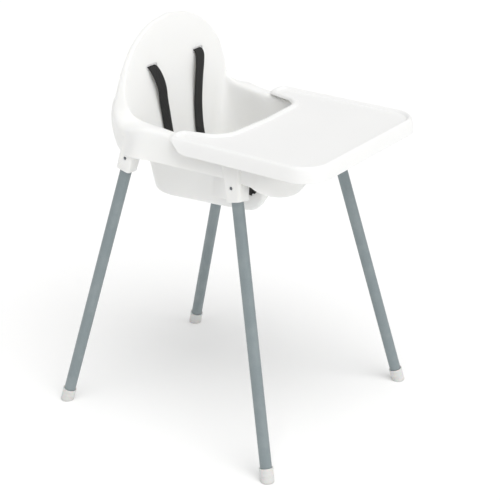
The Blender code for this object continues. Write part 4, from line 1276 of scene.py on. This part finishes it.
FOLD_WIDTH = 0.028                           # a strap folded on its diagonal
FOLD_TIP_WIDTH = 0.002
ACROSS = Vector((1, 0, 0))
UPRIGHT = Vector((0, 0, 1))


def folded_width(share):
    """Width of a waist strap along its length: its end is folded into a triangle."""
    if share > WAIST_FOLD[1]:
        return FOLD_WIDTH + (FOLD_TIP_WIDTH - FOLD_WIDTH) * (share - WAIST_FOLD[1]) / (1 - WAIST_FOLD[1])
    widening = max(0.0, (share - WAIST_FOLD[0]) / (WAIST_FOLD[1] - WAIST_FOLD[0]))
    return STRAP_WIDTH + (FOLD_WIDTH - STRAP_WIDTH) * widening


def strap_mesh(route, side, hints, width_at):
    """A strap along its route. Its width turns from the first hint's direction to the second's."""
    path = smooth_path([mirrored(point, side) for point in route], 8)
    last = len(path) - 1
    widths = []
    normals = []
    for i in range(last + 1):
        widths.append(width_at(i / last))
        hint = mirrored(hints[0].lerp(hints[1], min(1.0, i / last * 1.4)), side)
        normals.append((path[min(i + 1, last)] - path[max(i - 1, 0)]).cross(hint).normalized())
    return *strip_mesh(path, widths, STRAP_THICKNESS, normals), path, normals


# %% Stitches
STITCH_LENGTH = 0.0024
STITCH_RADIUS = 0.00022


def add_stitches(strap, path, normals, first, last, side, row_at):
    """Two rows of thread on one face of a strap, between two distances along its path."""
    bm = bmesh.new()
    bm.from_mesh(strap.data)
    old_faces = set(bm.faces)
    distance = 0.0
    next_at = first
    for i in range(1, len(path)):
        step = path[i] - path[i - 1]
        while distance + step.length >= next_at and next_at <= last:
            along = step.normalized()
            centre = path[i - 1] + along * (next_at - distance)
            normal = normals[i].normalized()
            sideways = along.cross(normal).normalized()
            for row in (-row_at, row_at):
                matrix = Matrix((sideways, normal, along)).transposed().to_4x4()
                matrix.translation = centre + sideways * row + normal * (STRAP_THICKNESS / 2 * side)
                size = Matrix.Diagonal((STITCH_RADIUS, STITCH_RADIUS, STITCH_LENGTH / 2, 1.0))
                bmesh.ops.create_uvsphere(bm, u_segments=8, v_segments=6, radius=1.0,
                                          matrix=matrix @ size)
            next_at += STITCH_LENGTH * 1.35
        distance += step.length
    for face in bm.faces:
        if face not in old_faces:
            face.material_index = 1
            face.smooth = True
    bm.to_mesh(strap.data)
    bm.free()


print("stitches are", STITCH_LENGTH * 1000, "mm long")

# %% Straps
for side_name, side in SIDES.items():
    mesh, length, path, normals = strap_mesh(SHOULDER_ROUTE, side, (ACROSS, ACROSS),
                                             lambda share: SHOULDER_WIDTH)
    strap = new_piece(f"shoulder_webbing_{side_name}", mesh, webbing, thread)
    settle(strap)
    facing = 1 if normals[60].y < 0 else -1
    add_stitches(strap, path, normals, length - 0.026, length - 0.004, facing, 0.0120)
    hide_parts(f"shoulder_strap_{side_name}")
    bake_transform(strap)
    print("shoulder strap", side_name, round(length, 3), "m")

    mesh, length, path, normals = strap_mesh(WAIST_ROUTE, side, (ACROSS, UPRIGHT), folded_width)
    strap = new_piece(f"waist_webbing_{side_name}", mesh, webbing, thread)
    settle(strap)
    facing = 1 if normals[4].z > 0 else -1
    add_stitches(strap, path, normals, 0.003, 0.022, facing, 0.0070)
    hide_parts(f"waist_strap_{side_name}")
    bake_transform(strap)
    print("waist strap", side_name, round(length, 3), "m")

mesh, length, path, normals = strap_mesh(CROTCH_ROUTE, 1.0, (ACROSS, ACROSS),
                                         lambda share: STRAP_WIDTH)
strap = new_piece("crotch_webbing", mesh, webbing, thread)
settle(strap)
stand_in(strap, "crotch_strap")
print("crotch strap", round(length, 3), "m")

# %% [markdown]
# ## Buckle, tongues, sliders and stops
#
# The buckle is a small block with a mouth on each side for a tongue and a ribbed release
# button in a well on top. A tongue is a thin plate with a window that the latch drops into, and a
# thicker head that holds the webbing. A slider is a block with a sleeve and grip ribs. Stops are
# small rounded bars that keep the straps' ends from pulling through.

# %% Buckle housing
BUCKLE_CENTRE = Vector((0.0, -0.011, 0.5505))
BUCKLE_SIZE = Vector((0.040, 0.046, 0.0120))
BUTTON_SIZE = Vector((0.0140, 0.0180, 0.0060))
BUTTON_RISE = 0.0010
TONGUE_Z = 0.5490
TONGUE_TIP_X = 0.0095
MOUTH_SIZE = Vector((0.0120, 0.0256, 0.0026))


def plain_block(size, centre):
    """A sharp-cornered block, used only to cut with."""
    bm = bmesh.new()
    bmesh.ops.create_cube(bm, size=1.0)
    bmesh.ops.scale(bm, vec=size, verts=bm.verts)
    bmesh.ops.translate(bm, vec=centre, verts=bm.verts)
    return to_mesh(bm, "block")


housing = new_piece("buckle_case", rounded_block(BUCKLE_SIZE, 0.0030), black_acetal)
housing.location = BUCKLE_CENTRE
reach = BUCKLE_SIZE.x / 2 + 0.002
for side in SIDES.values():
    centre = Vector((side * (reach + TONGUE_TIP_X - CLEARANCE) / 2, BUCKLE_CENTRE.y, TONGUE_Z))
    shape_with(housing, plain_block((reach - TONGUE_TIP_X + CLEARANCE, MOUTH_SIZE.y, MOUTH_SIZE.z), centre))
top = BUCKLE_CENTRE.z + BUCKLE_SIZE.z / 2
well = BUTTON_SIZE.z + BUTTON_RISE
shape_with(housing, plain_block((BUTTON_SIZE.x + 2 * CLEARANCE, BUTTON_SIZE.y + 2 * CLEARANCE, well + 0.002),
                                Vector((0, BUCKLE_CENTRE.y, top - well / 2 + 0.001))))
for row in (-0.0165, 0.0165):                # two shallow finger grooves
    groove = rounded_block((0.020, 0.0022, 0.0016), 0.0007)
    shape_with(housing, groove, matrix=Matrix.Translation((0, BUCKLE_CENTRE.y + row, top + 0.0002)))
settle(housing)
stand_in(housing, "buckle_housing")
print("buckle case:", len(housing.data.polygons), "faces")

# %% Release button
button = new_piece("release_button", rounded_block(BUTTON_SIZE, 0.0012), grey_acetal)
button.location = (0, BUCKLE_CENTRE.y, top + BUTTON_RISE - BUTTON_SIZE.z / 2)
for row in (-0.0045, -0.0015, 0.0015, 0.0045):
    shape_with(button, rounded_block((0.0090, 0.0011, 0.0010), 0.0004),
               matrix=Matrix.Translation((0, BUCKLE_CENTRE.y + row, top + BUTTON_RISE)))
settle(button)
stand_in(button, "buckle_button")

# %% Tongues
TONGUE_HEAD = Vector((0.0330, 0.0430, 0.0040))
TONGUE_HEAD_X = 0.0530
TONGUE_PLATE = Vector((0.0290, 0.0240, 0.0018))
for side_name, side in SIDES.items():
    tongue = new_piece(f"tongue_{side_name}", rounded_block(TONGUE_HEAD, 0.0014), black_acetal)
    tongue.location = (side * TONGUE_HEAD_X, BUCKLE_CENTRE.y, TONGUE_Z)
    plate = rounded_block(TONGUE_PLATE, 0.0007)
    plate_at = Vector((side * (TONGUE_TIP_X + TONGUE_PLATE.x / 2), BUCKLE_CENTRE.y, TONGUE_Z))
    shape_with(tongue, plate, "UNION", Matrix.Translation(plate_at))
    shape_with(tongue, plain_block((0.0040, 0.0110, 0.0060), plate_at - Vector((side * 0.0075, 0, 0))))
    for column in (-0.005, 0.0, 0.005):      # grip grooves for the thumb
        shape_with(tongue, rounded_block((0.0016, 0.024, 0.0012), 0.0005), matrix=Matrix.Translation(
            (side * TONGUE_HEAD_X + column, BUCKLE_CENTRE.y, TONGUE_Z + TONGUE_HEAD.z / 2 + 0.0002)))
    settle(tongue)
    stand_in(tongue, f"buckle_tongue_{side_name}")
print("tongues made")

# %% Sliders and stops
SLIDER_CENTRE = Vector((0.0530, 0.0515, 0.5450))
SLIDER_SIZE = Vector((0.0380, 0.0160, 0.0046))
SLEEVE_GAP = 0.0008                          # beside and round the webbing in a slider
STOP_SIZE = (0.0380, 0.0036, 0.0110)
CROTCH_STOP_SIZE = (0.0300, 0.0110, 0.0036)
for side_name, side in SIDES.items():
    slider = new_piece(f"ladder_slider_{side_name}", rounded_block(SLIDER_SIZE, 0.0011), black_acetal)
    slider.location = mirrored(SLIDER_CENTRE, side)
    sleeve = (SHOULDER_WIDTH + 2 * SLEEVE_GAP, SLIDER_SIZE.y + 0.004, STRAP_THICKNESS + SLEEVE_GAP)
    shape_with(slider, plain_block(sleeve, mirrored(SLIDER_CENTRE, side)))
    for row in (-0.0042, 0.0, 0.0042):
        at = mirrored(SLIDER_CENTRE, side) + Vector((0, row, SLIDER_SIZE.z / 2 + 0.0001))
        shape_with(slider, rounded_block((0.0290, 0.0016, 0.0010), 0.0004), matrix=Matrix.Translation(at))
    settle(slider)
    stand_in(slider, f"strap_slider_{side_name}")

    bar = rounded_block((STOP_SIZE[0], STOP_SIZE[2], STOP_SIZE[1]), 0.0012)
    stop = new_piece(f"strap_bar_{side_name}", bar, black_acetal)
    at = mirrored(SHOULDER_ROUTE[0], side) + Vector((0, STRAP_CLEARANCE + STOP_SIZE[1] / 2, 0))
    stop.matrix_world = Matrix.Translation(at) @ Matrix.Rotation(math.radians(-90), 4, "X")
    settle(stop)
    stand_in(stop, f"strap_stop_{side_name}")

stop = new_piece("crotch_bar", rounded_block(CROTCH_STOP_SIZE, 0.0012), black_acetal)
stop.location = Vector(CROTCH_ROUTE[-1]) - Vector((0, 0, STRAP_CLEARANCE + CROTCH_STOP_SIZE[2] / 2))
settle(stop)
stand_in(stop, "crotch_strap_stop")
print("sliders and stops made")
